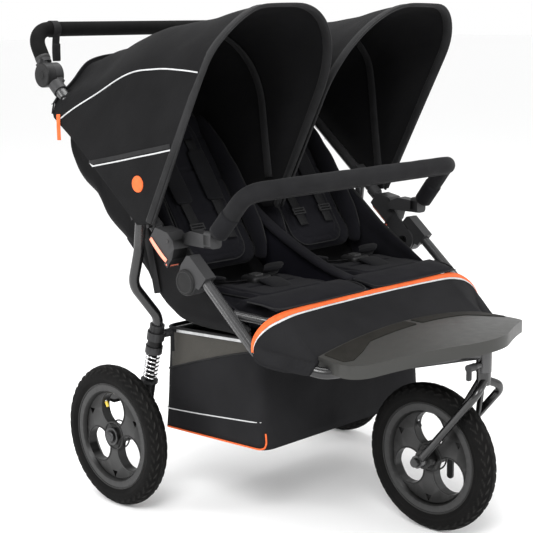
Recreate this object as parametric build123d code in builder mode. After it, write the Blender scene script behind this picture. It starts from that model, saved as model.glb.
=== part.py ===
from build123d import *
from math import cos, radians, sin
import os

# Side-by-side jogging stroller with a folding frame, sprung rear legs and a caster front wheel.
# Millimetres, +Z up, the front is -Y and the stroller's own left is +X. The origin is on the
# floor, under the middle of the whole stroller. Handed pieces are drawn on the left and mirrored.

# ---- driving dimensions ----
WHEEL_RADIUS = 150.0
TYRE_SECTION = 22.5  # radius of the tyre's round section
TYRE_WALL = 4.5
RIM_RADIUS = 113.0
RIM_HALF_WIDTH = 17.0
REAR_WHEEL_X = 346.0
REAR_AXLE = (215.0, 150.0)  # (y, z), like every pair below
FRONT_AXLE = (-348.0, 150.0)
SWIVEL_Y = -468.0

SIDE_X = 333.0  # plane of the side tubes
TUBE_SLOPE = 40.3  # degrees, the slope of the upper and front side tubes
UPPER_TUBE_R = 12.0
FRONT_TUBE_R = 11.0
LEG_R = 11.0
TUBE_WALL = 1.5
HANDLE_PIVOT = (425.0, 894.0)
HANDLE_BAR = (482.0, 989.0)
HANDLE_TUBE_R = 11.0
GRIP_R = 16.0
LOCK_DISTANCE = 498.0  # from the handle pivot down the tube to the middle of the fold lock
HUB = (-15.0, 509.0)  # fold pivot
HUB_DISC_R = 27.0
TUBE_EXIT = (-61.0, 510.0)  # where the front tube leaves its hub housing

STRUT_X = 285.0
STRUT_LEAN = 14.0  # degrees from upright
STRUT_FOOT = (207.0, 150.0)

HOOD_PIVOT = (88.0, 608.3)
HOOD_OUTER_X = 357.0
HOOD_INNER_X = 4.0
HOOD_PEAK = (-150.0, 1035.0)
HOOD_TOP_SLOPE = 0.147  # fall of the top line per millimetre towards the rear
HOOD_REAR_Y = 392.0
HOOD_OUTER_ROUND = 100.0
HOOD_INNER_ROUND = 170.0
HOOD_CLOTH = 3.0

SEAT_HALF_GAP = 12.0
SEAT_WIDTH = 280.0
RECLINE_HINGE = (88.0, 470.0)
BACK_ANGLE = 56.0  # degrees from level

RUNNING = 0.05  # radial clearance of a turning fit
SLIP = 0.1  # radial clearance of an assembled fit

os.makedirs("parts", exist_ok=True)


def write(part, name):
    """Label one finished piece and write its file."""
    part.label = name
    export_step(part, f"parts/{name}.step")


def write_pair(builder, name):
    """Write a left piece and its mirror image."""
    write(mirror(builder.part, about=Plane.YZ), f"{name}_right")
    write(builder.part, f"{name}_left")


def write_both(builder, name):
    """Write a left piece and its mirror image as one node of two solids."""
    write(Compound(children=[builder.part, mirror(builder.part, about=Plane.YZ)]), name)


def down_tube(start, distance, height=0.0):
    """Point (y, z) a distance down the tube direction from start, and height above that line."""
    c, s = cos(radians(TUBE_SLOPE)), sin(radians(TUBE_SLOPE))
    return (start[0] - distance * c - height * s, start[1] - distance * s + height * c)


def up_strut(distance):
    """Point (y, z) a distance up the strut's axis from its foot."""
    lean = radians(STRUT_LEAN)
    return (STRUT_FOOT[0] - distance * sin(lean), STRUT_FOOT[1] + distance * cos(lean))


def up_handle(distance):
    """Point (y, z) a distance from the handle pivot towards the push bar."""
    run = Vector(*HANDLE_BAR) - Vector(*HANDLE_PIVOT)
    step = run.normalized() * distance
    return (HANDLE_PIVOT[0] + step.X, HANDLE_PIVOT[1] + step.Y)


def up_back(distance, depth=0.0):
    """Point (y, z) a distance up the seat back from its hinge, and depth behind its middle."""
    c, s = cos(radians(BACK_ANGLE)), sin(radians(BACK_ANGLE))
    return (RECLINE_HINGE[0] + distance * c + depth * s, RECLINE_HINGE[1] + distance * s - depth * c)


def slab(outline, low_x, high_x, mode=Mode.ADD):
    """Extrude a (y, z) outline from low_x to high_x into the part being built."""
    with BuildSketch(Plane.YZ.offset(low_x)) as profile:
        with BuildLine():
            Polyline(*outline, close=True)
        make_face()
    extrude(profile.sketch, amount=high_x - low_x, mode=mode)


def rod(start, end, radius, mode=Mode.ADD):
    """A round bar between two points."""
    axis = Vector(*end) - Vector(*start)
    with Locations(Plane(origin=start, z_dir=axis)):
        Cylinder(radius, axis.length, align=(Align.CENTER, Align.CENTER, Align.MIN), mode=mode)


def cross_rod(centre, low_x, high_x, radius, mode=Mode.ADD):
    """A round bar along X, centred on (y, z)."""
    rod((low_x, *centre), (high_x, *centre), radius, mode)


def bent_tube(points, bends, outer, inner=0.0):
    """A tube along straight runs joined by arcs."""
    with BuildLine() as route:
        FilletPolyline(*points, radius=bends)
    with BuildSketch(Plane(origin=route.line @ 0, z_dir=route.line % 0)) as ring:
        Circle(outer)
        if inner:
            Circle(inner, mode=Mode.SUBTRACT)
    sweep(ring.sketch, path=route.line)


def straight_middle(centre, half_length, outer, inner=0.0):
    """Rebuild the straight middle of a bent tube along X as a true cylinder."""
    cross_rod(centre, -half_length, half_length, outer + 1.0, Mode.SUBTRACT)
    cross_rod(centre, -half_length, half_length, outer)
    if inner:
        cross_rod(centre, -half_length, half_length, inner, Mode.SUBTRACT)


# ---- upper frame: side tubes, fold locks and pivot pins ----
LOCK = down_tube(HANDLE_PIVOT, LOCK_DISTANCE)
TUBE_TOP = 32.0  # the upper tube starts this far from the handle pivot
TUBE_BOTTOM = LOCK_DISTANCE - 13.0

with BuildPart() as upper_tube:
    tube_start = (SIDE_X, *down_tube(HANDLE_PIVOT, TUBE_TOP))
    tube_end = (SIDE_X, *down_tube(HANDLE_PIVOT, TUBE_BOTTOM))
    rod(tube_start, tube_end, UPPER_TUBE_R)
    rod(tube_start, tube_end, UPPER_TUBE_R - TUBE_WALL, Mode.SUBTRACT)
write_both(upper_tube, "upper_tubes")

CHEEK_LOW_X, CHEEK_HIGH_X = SIDE_X - 20.0, SIDE_X - 14.5
LOCK_HIGH_X = SIDE_X + 20.0
LEVER_PIN_R = 2.0
LEVER_PIVOT = down_tube(LOCK, 28.0, -22.0)
SOCKET_X = 313.0  # where the bumper bar plugs in
SOCKET_Z = 590.0
SOCKET_FRONT_Y = -46.0
PLUG_R = 8.0
PLUG_LENGTH = 26.0

with BuildPart() as fold_lock:
    box_outline = [(-38, -15), (-38, 15), (-8, 32), (14, 32), (27, 22), (35, 2), (35, -18), (20, -15)]
    slab([down_tube(LOCK, u, v) for u, v in box_outline], CHEEK_LOW_X, LOCK_HIGH_X)
    fillet(fold_lock.edges().filter_by(Axis.X), radius=3.0)
    cheek_outline = [(22, -14), (22, 22), (84, 15), (84, -34)]
    slab([down_tube(LOCK, u, v) for u, v in cheek_outline], CHEEK_LOW_X, CHEEK_HIGH_X)
    cross_rod(HUB, CHEEK_LOW_X, CHEEK_HIGH_X, HUB_DISC_R - 1.0)
    socket_outline = [(SOCKET_FRONT_Y, 577), (SOCKET_FRONT_Y, 603), (-8, 606), (14, 597), (22, 578)]
    slab(socket_outline, SOCKET_X - 13.0, SOCKET_X + 14.0)
    for lug_x in (SIDE_X - 16.5, SIDE_X + 12.0):
        slab([down_tube(LOCK, u, v) for u, v in [(20, -12), (34, -12), (34, -26), (22, -26)]], lug_x, lug_x + 4.5)
    tube_bore_start = (SIDE_X, *down_tube(HANDLE_PIVOT, TUBE_BOTTOM + 1.0))
    tube_bore_end = (SIDE_X, *down_tube(LOCK, -40.0))
    rod(tube_bore_start, tube_bore_end, UPPER_TUBE_R + SLIP, Mode.SUBTRACT)
    cross_rod(HUB, CHEEK_LOW_X - 1.0, CHEEK_HIGH_X + 1.0, 5.0 + RUNNING, Mode.SUBTRACT)
    cross_rod(LEVER_PIVOT, SIDE_X - 18.0, SIDE_X + 18.0, LEVER_PIN_R + RUNNING, Mode.SUBTRACT)
    plug_mouth = (SOCKET_X, SOCKET_FRONT_Y - 1.0, SOCKET_Z)
    plug_end = (SOCKET_X, SOCKET_FRONT_Y + PLUG_LENGTH + 4.0, SOCKET_Z)
    rod(plug_mouth, plug_end, PLUG_R + SLIP, Mode.SUBTRACT)
write_both(fold_lock, "fold_locks")

with BuildPart() as fold_lever:
    lever_outline = [(-36, -17), (-36, -21), (-30, -24), (26, -24), (26, -17)]
    slab([down_tube(LOCK, u, v) for u, v in lever_outline], SIDE_X - 11.0, SIDE_X + 11.0)
    cross_rod(LEVER_PIVOT, SIDE_X - 11.0, SIDE_X + 11.0, 4.5)
    cross_rod(LEVER_PIVOT, SIDE_X - 16.5, SIDE_X + 16.5, LEVER_PIN_R)
write_pair(fold_lever, "fold_lever")

with BuildPart() as pivot_pin:
    cross_rod(HUB, CHEEK_LOW_X, SIDE_X + 12.0, 5.0)
    cross_rod(HUB, CHEEK_LOW_X - 4.0, CHEEK_LOW_X, 9.0)
write_both(pivot_pin, "hub_pivot_pins")

# ---- front frame: hub housings, side tubes, crossbar, head tube ----
HOUSING_LOW_X, HOUSING_HIGH_X = SIDE_X - 13.5, SIDE_X + 13.5

with BuildPart() as hub_housing:
    housing_outline = [(-66, -15), (-66, 11), (-60, 17), (0, 17), (0, -15), (-8, -18), (-8, -30), (-61, -30)]
    slab([down_tube(TUBE_EXIT, u, v) for u, v in housing_outline], HOUSING_LOW_X, HOUSING_HIGH_X)
    cross_rod(HUB, HOUSING_LOW_X, HOUSING_HIGH_X, HUB_DISC_R)
    bore_start = (SIDE_X, *down_tube(TUBE_EXIT, -58.0))
    bore_end = (SIDE_X, *down_tube(TUBE_EXIT, 2.0))
    rod(bore_start, bore_end, FRONT_TUBE_R + SLIP, Mode.SUBTRACT)
    cross_rod(HUB, HOUSING_LOW_X - 1.0, HOUSING_HIGH_X + 1.0, 5.0 + RUNNING, Mode.SUBTRACT)
write_both(hub_housing, "hub_housings")

with BuildPart() as hub_cover:
    cross_rod(HUB, HOUSING_HIGH_X, HOUSING_HIGH_X + 4.5, HUB_DISC_R - 1.5)
    fillet(hub_cover.edges().sort_by(Axis.X)[-1], radius=2.5)
write_both(hub_cover, "hub_covers")

HEAD_LOW_Z, HEAD_HIGH_Z = 347.0, 402.0
HEAD_R = 15.0
STEM_R = 9.0
LOCK_BOSS_Z = 362.0
FRONT_TUBE_KNEE = down_tube(TUBE_EXIT, 182.0)

FRONT_ROUTE = [
    (SIDE_X, *down_tube(TUBE_EXIT, -56.0)),
    (SIDE_X, *FRONT_TUBE_KNEE),
    (262.0, -300.0, 363.0),
    (8.0, -463.0, 382.0),
]
FRONT_BENDS = [50.0, 60.0]

with BuildPart() as front_tube:
    bent_tube(FRONT_ROUTE, FRONT_BENDS, FRONT_TUBE_R, FRONT_TUBE_R - TUBE_WALL)
    rod((0, SWIVEL_Y, HEAD_LOW_Z), (0, SWIVEL_Y, HEAD_HIGH_Z), HEAD_R + SLIP, Mode.SUBTRACT)
write_both(front_tube, "front_tubes")

with BuildPart() as tube_seat:
    bent_tube(FRONT_ROUTE, FRONT_BENDS, FRONT_TUBE_R + SLIP)

SEAT_BAR = (-185.0, 446.0)
SEAT_BAR_R = 9.0

with BuildPart() as seat_front_bar:
    bar_root = (SIDE_X - FRONT_TUBE_R - 0.2, -122.0, 458.0)
    bar_corner = (286.0, *SEAT_BAR)
    bar_route = [bar_root, bar_corner, (-286.0, *SEAT_BAR), (-bar_root[0], bar_root[1], bar_root[2])]
    bent_tube(bar_route, [30.0, 30.0], SEAT_BAR_R, SEAT_BAR_R - TUBE_WALL)
    for side in (-1, 1):
        tube_line = [(side * SIDE_X, *down_tube(TUBE_EXIT, d)) for d in (20.0, 110.0)]
        rod(tube_line[0], tube_line[1], FRONT_TUBE_R + SLIP, Mode.SUBTRACT)
write(seat_front_bar.part, "seat_front_bar")

with BuildPart() as head_tube:
    rod((0, SWIVEL_Y, HEAD_LOW_Z), (0, SWIVEL_Y, HEAD_HIGH_Z), HEAD_R)
    rod((-HEAD_R + 2.0, SWIVEL_Y, LOCK_BOSS_Z), (-30.0, SWIVEL_Y, LOCK_BOSS_Z), 7.0)
    rod((0, SWIVEL_Y, HEAD_LOW_Z - 1.0), (0, SWIVEL_Y, HEAD_HIGH_Z - 4.0), STEM_R + RUNNING, Mode.SUBTRACT)
    rod((0, SWIVEL_Y, LOCK_BOSS_Z), (-31.0, SWIVEL_Y, LOCK_BOSS_Z), 4.0 + RUNNING, Mode.SUBTRACT)
write(head_tube.part, "head_tube")

with BuildPart() as swivel_lock:
    rod((-30.6, SWIVEL_Y, LOCK_BOSS_Z), (-50.0, SWIVEL_Y, LOCK_BOSS_Z), 7.5)
    rod((-32.0, SWIVEL_Y, LOCK_BOSS_Z), (-9.8, SWIVEL_Y, LOCK_BOSS_Z), 4.0)
    with Locations((-47.0, SWIVEL_Y, LOCK_BOSS_Z - 13.0)):
        Box(6.0, 9.0, 22.0)
    fillet(swivel_lock.edges().filter_by(Axis.X).group_by(Axis.Z)[0], radius=3.0)
write(swivel_lock.part, "swivel_lock")

# ---- footplate with its grip inserts, and the apron behind it ----
PLATE_TOP_Z = 415.0
PLATE_SIDE_TOP_Z = 385.0
PLATE_HALF_WIDTH = 268.0
PLATE_REAR_Y = -276.0
PLATE_DEPTH = 25.0
PLATE_SKIN = 5.0
SADDLE_X = 180.0  # the ribs that rest on the front tubes


def crowned_band(high, low, start_y, end_y, mode=Mode.ADD):
    """A band between two crowned arcs across X, set high and low from the plate's top, along Y."""
    with BuildSketch(Plane.XZ.offset(-start_y)) as band:
        with BuildLine():
            half = PLATE_HALF_WIDTH + 10.0
            ThreePointArc(
                (-half, PLATE_SIDE_TOP_Z + high), (0, PLATE_TOP_Z + high), (half, PLATE_SIDE_TOP_Z + high)
            )
            Line((half, PLATE_SIDE_TOP_Z + high), (half, PLATE_SIDE_TOP_Z + low))
            ThreePointArc(
                (half, PLATE_SIDE_TOP_Z + low), (0, PLATE_TOP_Z + low), (-half, PLATE_SIDE_TOP_Z + low)
            )
            Line((-half, PLATE_SIDE_TOP_Z + low), (-half, PLATE_SIDE_TOP_Z + high))
        make_face()
    extrude(band.sketch, amount=start_y - end_y, mode=mode)


def plate_outline(inset, rear_y):
    """The footplate's plan: straight rear edge, rounded corners and a bowed front edge."""
    half = PLATE_HALF_WIDTH - inset
    points = [(half - 15.0, rear_y), (half, -378.0), (0, -511.0 + inset), (-half, -378.0), (15.0 - half, rear_y)]
    with BuildSketch(Plane.XY.offset(300.0)) as plan:
        with BuildLine():
            front = FilletPolyline(*points, radius=[60.0 - inset, 160.0, 60.0 - inset])
            Line(front @ 1, front @ 0)
        make_face()
    return plan.sketch


with BuildPart() as footplate:
    crowned_band(0.0, -PLATE_DEPTH, PLATE_REAR_Y + 10.0, -510.0)
    extrude(plate_outline(0.0, PLATE_REAR_Y), amount=200.0, mode=Mode.INTERSECT)
    with BuildPart(mode=Mode.PRIVATE) as pocket:
        crowned_band(-PLATE_SKIN, -PLATE_DEPTH - 10.0, PLATE_REAR_Y + 20.0, -510.0)
        extrude(plate_outline(4.0, PLATE_REAR_Y + 15.0), amount=200.0, mode=Mode.INTERSECT)
    add(pocket.part, mode=Mode.SUBTRACT)
    for low_x in (-SADDLE_X - 5.0, SADDLE_X - 5.0):
        slab([(-310, 362), (-310, 400), (-400, 400), (-400, 370)], low_x, low_x + 10.0)
    add(tube_seat.part, mode=Mode.SUBTRACT)
    add(mirror(tube_seat.part, about=Plane.YZ), mode=Mode.SUBTRACT)
write(footplate.part, "footplate")

with BuildPart() as grip_insert:
    crowned_band(1.6, 0.1, PLATE_REAR_Y, -360.0)
    strip = [
        (8.0, -281.0),
        (244.0, -281.0),
        (252.0, -338.0),
        (238.0, -350.0),
        (200.0, -338.0),
        (150.0, -314.0),
        (8.0, -314.0),
    ]
    with BuildSketch(Plane.XY.offset(300.0)):
        with BuildLine():
            FilletPolyline(*strip, radius=6.0, close=True)
        make_face()
    extrude(amount=200.0, mode=Mode.INTERSECT)
write_both(grip_insert, "footplate_grips")

with BuildPart() as apron:
    panel = [(-187, 460), (-191, 465), (-272, 405), (-272, 399)]
    slab(panel, -284.0, 284.0)
    for low_x in (-288.0, 284.0):
        slab([(-197, 457), (-194, 463), (-272, 405), (-272, 386), (-197, 398)], low_x, low_x + 4.0)
write(apron.part, "apron")

# ---- front fork, its axle and quick release ----
FORK_X = 42.0
BOSS_INNER_X, BOSS_OUTER_X = 31.0, 49.0
AXLE_R = 5.0
CROWN_R = 14.0

with BuildPart() as fork:
    rod((0, SWIVEL_Y, 330.0), (0, SWIVEL_Y, HEAD_HIGH_Z - 5.0), STEM_R)
    rod((0, SWIVEL_Y, 322.0), (0, SWIVEL_Y, HEAD_LOW_Z - 0.6), CROWN_R)
    for side in (-1, 1):
        blade = [
            (side * 2.0, SWIVEL_Y - 4.0, 331.0),
            (side * FORK_X, SWIVEL_Y - 16.0, 314.0),
            (side * FORK_X, FRONT_AXLE[0] - 6.0, FRONT_AXLE[1] + 7.0),
        ]
        bent_tube(blade, [24.0], 8.0)
        rod((side * 5.0, SWIVEL_Y + 6.0, 330.0), (side * (FORK_X - 1.0), -428.0, 243.0), 6.0)
        low_x, high_x = sorted((side * BOSS_INNER_X, side * BOSS_OUTER_X))
        cross_rod(FRONT_AXLE, low_x, high_x, 13.0)
        cross_rod(FRONT_AXLE, low_x - 1.0, high_x + 1.0, AXLE_R + SLIP, Mode.SUBTRACT)
write(fork.part, "fork")

with BuildPart() as front_axle:
    cross_rod(FRONT_AXLE, -56.0, BOSS_OUTER_X + 1.5, AXLE_R)
    cross_rod(FRONT_AXLE, -58.0, -BOSS_OUTER_X - 0.2, 9.0)
write(front_axle.part, "front_axle")

CAM_X = 58.5

with BuildPart() as quick_release:
    rod((CAM_X, FRONT_AXLE[0] - 9.0, 150.0), (CAM_X, FRONT_AXLE[0] + 9.0, 150.0), 7.5)
    with Locations((CAM_X + 3.0, FRONT_AXLE[0], 118.0)):
        Box(5.0, 14.0, 60.0)
    fillet(quick_release.edges().filter_by(Axis.X).group_by(Axis.Z)[0], radius=6.0)
write(quick_release.part, "quick_release")

# ---- wheels ----
WINDOW_COUNT = 3
WINDOW_RADIUS = 36.0
WINDOW_DISTANCE = 57.0
VENT_DISTANCE = 82.0


def build_wheel(centre_x, axle, hub_low_x, hub_high_x, bore_r):
    """A moulded three-spoke rim and its tyre, returned as two parts."""
    wheel_plane = Plane(origin=(centre_x, *axle), x_dir=(0, 1, 0), z_dir=(1, 0, 0))
    section_plane = Plane(origin=(centre_x, *axle), x_dir=(0, 0, 1), z_dir=(0, -1, 0))
    spin = Axis((centre_x, *axle), (1, 0, 0))
    with BuildPart() as rim:
        with BuildSketch(section_plane):
            with BuildLine():
                Polyline(
                    (92.0, -10.0), (97.0, -RIM_HALF_WIDTH), (RIM_RADIUS, -RIM_HALF_WIDTH),
                    (RIM_RADIUS, RIM_HALF_WIDTH), (97.0, RIM_HALF_WIDTH), (92.0, 10.0), close=True,
                )
            make_face()
        revolve(axis=spin)
        with BuildSketch(wheel_plane.offset(-9.0)):
            Circle(94.0)
            with PolarLocations(WINDOW_DISTANCE, WINDOW_COUNT, start_angle=90.0):
                Circle(WINDOW_RADIUS, mode=Mode.SUBTRACT)
            with PolarLocations(VENT_DISTANCE, WINDOW_COUNT, start_angle=30.0):
                RegularPolygon(9.0, 3, mode=Mode.SUBTRACT)
        extrude(amount=18.0)
        with BuildSketch(wheel_plane.offset(hub_low_x - centre_x)):
            Circle(19.0)
        extrude(amount=hub_high_x - hub_low_x)
        with BuildSketch(wheel_plane.offset(hub_low_x - centre_x - 1.0)):
            Circle(bore_r)
        extrude(amount=hub_high_x - hub_low_x + 2.0, mode=Mode.SUBTRACT)
    with BuildPart() as tyre:
        with BuildSketch(section_plane):
            with Locations((WHEEL_RADIUS - TYRE_SECTION, 0)):
                Circle(TYRE_SECTION)
                Circle(TYRE_SECTION - TYRE_WALL, mode=Mode.SUBTRACT)
            with Locations((RIM_RADIUS + SLIP, 0)):
                Rectangle(60.0, 60.0, align=(Align.MAX, Align.CENTER), mode=Mode.SUBTRACT)
        revolve(axis=spin)
    return rim, tyre


front_rim, front_tyre = build_wheel(0.0, FRONT_AXLE, 0.6 - BOSS_INNER_X, BOSS_INNER_X - 0.6, AXLE_R + RUNNING)
write(front_rim.part, "front_rim")
write(front_tyre.part, "front_tyre")

STUB_R = 6.0
REAR_HUB_X = (312.0, 361.0)
rear_rim, rear_tyre = build_wheel(REAR_WHEEL_X, REAR_AXLE, *REAR_HUB_X, STUB_R + RUNNING)
write_pair(rear_rim, "rear_rim")
write_pair(rear_tyre, "rear_tyre")

# ---- rear legs and sprung struts ----
SLEEVE_LOW, SLEEVE_HIGH = 182.0, 246.0
LEG_END = 206.0
SPRING_LOW, SPRING_HIGH = 119.5, 181.0
BOOT_LOW, BOOT_HIGH = 40.0, 115.0
PISTON_R = 9.0
PISTON_TOP = 200.0
LEG_TOP = (132.0, 628.0)

with BuildPart() as rear_leg:
    leg_route = [
        (SIDE_X, *LEG_TOP),
        (SIDE_X, 141.0, 552.0),
        (SIDE_X, 164.0, 477.0),
        (STRUT_X, *up_strut(262.0)),
        (STRUT_X, *up_strut(LEG_END)),
    ]
    bent_tube(leg_route, [120.0, 45.0, 38.0], LEG_R, LEG_R - TUBE_WALL)
    rod(tube_start, tube_end, UPPER_TUBE_R + SLIP, Mode.SUBTRACT)
write_both(rear_leg, "rear_legs")

with BuildPart() as leg_clamp:
    clamp_centre = down_tube(HANDLE_PIVOT, 384.0)
    clamp_outline = [(-17, 16), (17, 16), (17, -14), (10, -34), (-24, -18), (-17, -10)]
    slab([down_tube(clamp_centre, u, v) for u, v in clamp_outline], SIDE_X - 15.0, SIDE_X + 13.5)
    rod(tube_start, tube_end, UPPER_TUBE_R + SLIP, Mode.SUBTRACT)
    rod((SIDE_X, 131.6, 632.0), (SIDE_X, 141.0, 552.0), LEG_R + SLIP, Mode.SUBTRACT)
write_both(leg_clamp, "leg_clamps")

with BuildPart() as strut_sleeve:
    rod((STRUT_X, *up_strut(SLEEVE_LOW)), (STRUT_X, *up_strut(SLEEVE_HIGH)), 15.5)
    rod((STRUT_X, *up_strut(SLEEVE_LOW)), (STRUT_X, *up_strut(SLEEVE_LOW + 16.0)), 18.0)
    rod((STRUT_X, *up_strut(212.0)), (STRUT_X, *up_strut(230.0)), 18.5)
    rod((STRUT_X, *up_strut(LEG_END - 1.0)), (STRUT_X, *up_strut(SLEEVE_HIGH + 1.0)), LEG_R + SLIP, Mode.SUBTRACT)
    rod((STRUT_X, *up_strut(SLEEVE_LOW - 1.0)), (STRUT_X, *up_strut(LEG_END)), PISTON_R + 0.3, Mode.SUBTRACT)
write_both(strut_sleeve, "strut_sleeves")

with BuildPart() as rear_crossbar:
    bar_end = STRUT_X - 18.7
    cross_rod(up_strut(221.0), -bar_end, bar_end, 9.0)
    cross_rod(up_strut(221.0), 1.0 - bar_end, bar_end - 1.0, 9.0 - TUBE_WALL, Mode.SUBTRACT)
write(rear_crossbar.part, "rear_crossbar")

with BuildPart() as spring:
    spring_frame = Plane(
        origin=(STRUT_X, *up_strut(SPRING_LOW + 2.2)),
        z_dir=Vector(0, *up_strut(1.0)) - Vector(0, *up_strut(0.0)),
    )
    coil = spring_frame.location * Helix(pitch=9.4, height=SPRING_HIGH - SPRING_LOW - 4.4, radius=14.0)
    with BuildSketch(Plane(origin=coil @ 0, z_dir=coil % 0)):
        Circle(2.0)
    sweep(path=coil, is_frenet=True)
write_pair(spring, "spring")

with BuildPart() as strut_lower:
    rod((STRUT_X, *up_strut(BOOT_LOW)), (STRUT_X, *up_strut(BOOT_HIGH)), 14.5)
    rod((STRUT_X, *up_strut(BOOT_HIGH - 1.0)), (STRUT_X, *up_strut(SPRING_LOW - 0.3)), 18.5)
    rod((STRUT_X, *up_strut(BOOT_HIGH)), (STRUT_X, *up_strut(PISTON_TOP)), PISTON_R)
    slab([(186, 212), (214, 222), (236, 158), (233, 138), (200, 132), (186, 150)], STRUT_X - 15.0, STRUT_X + 15.0)
    cross_rod(REAR_AXLE, STRUT_X + 14.0, STRUT_X + 24.0, 13.0)
    slab([(224, 168), (228, 200), (252, 198), (252, 182)], STRUT_X - 14.0, STRUT_X - 8.0)
    slab([(224, 168), (228, 200), (252, 198), (252, 182)], STRUT_X + 8.0, STRUT_X + 14.0)
    cross_rod(REAR_AXLE, STRUT_X - 16.0, STRUT_X + 26.0, STUB_R + SLIP, Mode.SUBTRACT)
    BRAKE_PIVOT = (243.0, 190.0)
    cross_rod(BRAKE_PIVOT, STRUT_X - 15.0, STRUT_X + 15.0, 3.0 + RUNNING, Mode.SUBTRACT)
write_pair(strut_lower, "strut_lower")

with BuildPart() as stub_axle:
    cross_rod(REAR_AXLE, STRUT_X - 17.0, REAR_HUB_X[1] + 6.5, STUB_R)
    cross_rod(REAR_AXLE, STRUT_X - 21.0, STRUT_X - 15.2, 10.0)
    cross_rod(REAR_AXLE, REAR_HUB_X[1] + 0.5, REAR_HUB_X[1] + 6.5, 11.0)
    chamfer(stub_axle.edges().sort_by(Axis.X)[-1], length=1.5)
write_pair(stub_axle, "stub_axle")

with BuildPart() as brake_pedal:
    cross_rod(BRAKE_PIVOT, STRUT_X - 7.5, STRUT_X + 7.5, 6.0)
    cross_rod(BRAKE_PIVOT, STRUT_X - 14.0, STRUT_X + 14.0, 3.0)
    slab([(244, 184), (244, 196), (268, 207), (304, 209), (304, 203), (270, 200)], STRUT_X - 7.0, STRUT_X + 7.0)
    slab([(268, 201), (268, 208), (304, 210), (304, 203)], STRUT_X - 24.0, STRUT_X + 26.0)
write(mirror(brake_pedal.part, about=Plane.YZ), "brake_pedal")

# ---- push handle ----
JOINT_R = 26.0
JOINT_MID_X = SIDE_X + 0.5

with BuildPart() as handle_base:
    cross_rod(HANDLE_PIVOT, JOINT_MID_X - 20.0, JOINT_MID_X - 0.3, JOINT_R)
    slab([down_tube(HANDLE_PIVOT, u, v) for u, v in [(0, -14), (34, -14), (34, 14), (0, 14)]],
         SIDE_X - 15.0, JOINT_MID_X - 0.3)
    rod((SIDE_X, *down_tube(HANDLE_PIVOT, 28.0)), (SIDE_X, *down_tube(HANDLE_PIVOT, 52.0)), 15.5)
    rod((SIDE_X, *down_tube(HANDLE_PIVOT, TUBE_TOP - 0.5)), (SIDE_X, *down_tube(HANDLE_PIVOT, 54.0)),
        UPPER_TUBE_R + SLIP, Mode.SUBTRACT)
write_both(handle_base, "handle_joint_bases")

BUTTON_R = 9.0
BUTTON_TRAVEL = 3.0

with BuildPart() as handle_cap:
    cross_rod(HANDLE_PIVOT, JOINT_MID_X + 0.3, JOINT_MID_X + 19.5, JOINT_R)
    fillet(handle_cap.edges().sort_by(Axis.X)[-1], radius=3.0)
    arm_start, arm_end = up_handle(2.0), up_handle(32.0)
    side_step = Vector(0, arm_end[0] - arm_start[0], arm_end[1] - arm_start[1]).normalized()
    across = Vector(0, -side_step.Z, side_step.Y) * 12.0
    web = [
        (arm_start[0] + across.Y, arm_start[1] + across.Z),
        (arm_end[0] + across.Y, arm_end[1] + across.Z),
        (arm_end[0] - across.Y, arm_end[1] - across.Z),
        (arm_start[0] - across.Y, arm_start[1] - across.Z),
    ]
    slab(web, JOINT_MID_X + 0.3, JOINT_MID_X + 14.0)
    rod((SIDE_X, *up_handle(28.0)), (SIDE_X, *up_handle(37.0)), 15.5)
    rod((SIDE_X, *up_handle(30.0)), (SIDE_X, *up_handle(38.0)), HANDLE_TUBE_R + SLIP, Mode.SUBTRACT)
    cross_rod(HANDLE_PIVOT, JOINT_MID_X + 8.0, JOINT_MID_X + 20.0, BUTTON_R + SLIP, Mode.SUBTRACT)
write_both(handle_cap, "handle_joint_caps")

with BuildPart() as handle_button:
    cross_rod(HANDLE_PIVOT, JOINT_MID_X + 11.5, JOINT_MID_X + 21.0, BUTTON_R)
    fillet(handle_button.edges().sort_by(Axis.X)[-1], radius=1.5)
write_pair(handle_button, "handle_button")

HANDLE_BEND = 45.0


def handle_route(start):
    """Corner points of the push handle, starting a distance from each pivot."""
    return [
        (-SIDE_X, *up_handle(start)), (-SIDE_X, *HANDLE_BAR),
        (SIDE_X, *HANDLE_BAR), (SIDE_X, *up_handle(start)),
    ]


with BuildPart() as handle_tube:
    bent_tube(handle_route(30.5), [HANDLE_BEND, HANDLE_BEND], HANDLE_TUBE_R, HANDLE_TUBE_R - TUBE_WALL)
write(handle_tube.part, "handle_tube")

with BuildPart() as handle_grip:
    bent_tube(handle_route(37.5), [HANDLE_BEND, HANDLE_BEND], GRIP_R, HANDLE_TUBE_R + SLIP)
    straight_middle(HANDLE_BAR, 250.0, GRIP_R, HANDLE_TUBE_R + SLIP)
write(handle_grip.part, "handle_grip")

STRAP_X = -277.0
STRAP_WIDTH = 20.0

with BuildPart() as wrist_strap:
    with BuildSketch(Plane(origin=(STRAP_X - STRAP_WIDTH / 2, *HANDLE_BAR), x_dir=(0, 1, 0), z_dir=(1, 0, 0))):
        Circle(GRIP_R + 2.0)
        with Locations((-6.0, -40.0)):
            Rectangle(12.0, 60.0)
        with Locations((-6.0, -42.0)):
            Rectangle(8.0, 58.0, mode=Mode.SUBTRACT)
        Circle(GRIP_R + 0.2, mode=Mode.SUBTRACT)
    extrude(amount=STRAP_WIDTH)
write(wrist_strap.part, "wrist_strap")

# ---- hoods ----
HOOD_LOW_EDGE = ((120.0, 611.0), (HOOD_REAR_Y, 824.0))
HEM_FOOT = (70.0, 612.0)


def top_z(y):
    """Height of the hood's top line at y."""
    return HOOD_PEAK[1] - (y - HOOD_PEAK[0]) * HOOD_TOP_SLOPE


def arch_points(inset, low, high):
    """Corners of the hood's arch across X, inset from its outer surface."""
    return [
        (HOOD_INNER_X + inset, low), (HOOD_INNER_X + inset, high - inset),
        (HOOD_OUTER_X - inset, high - inset), (HOOD_OUTER_X - inset, low),
    ]


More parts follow.
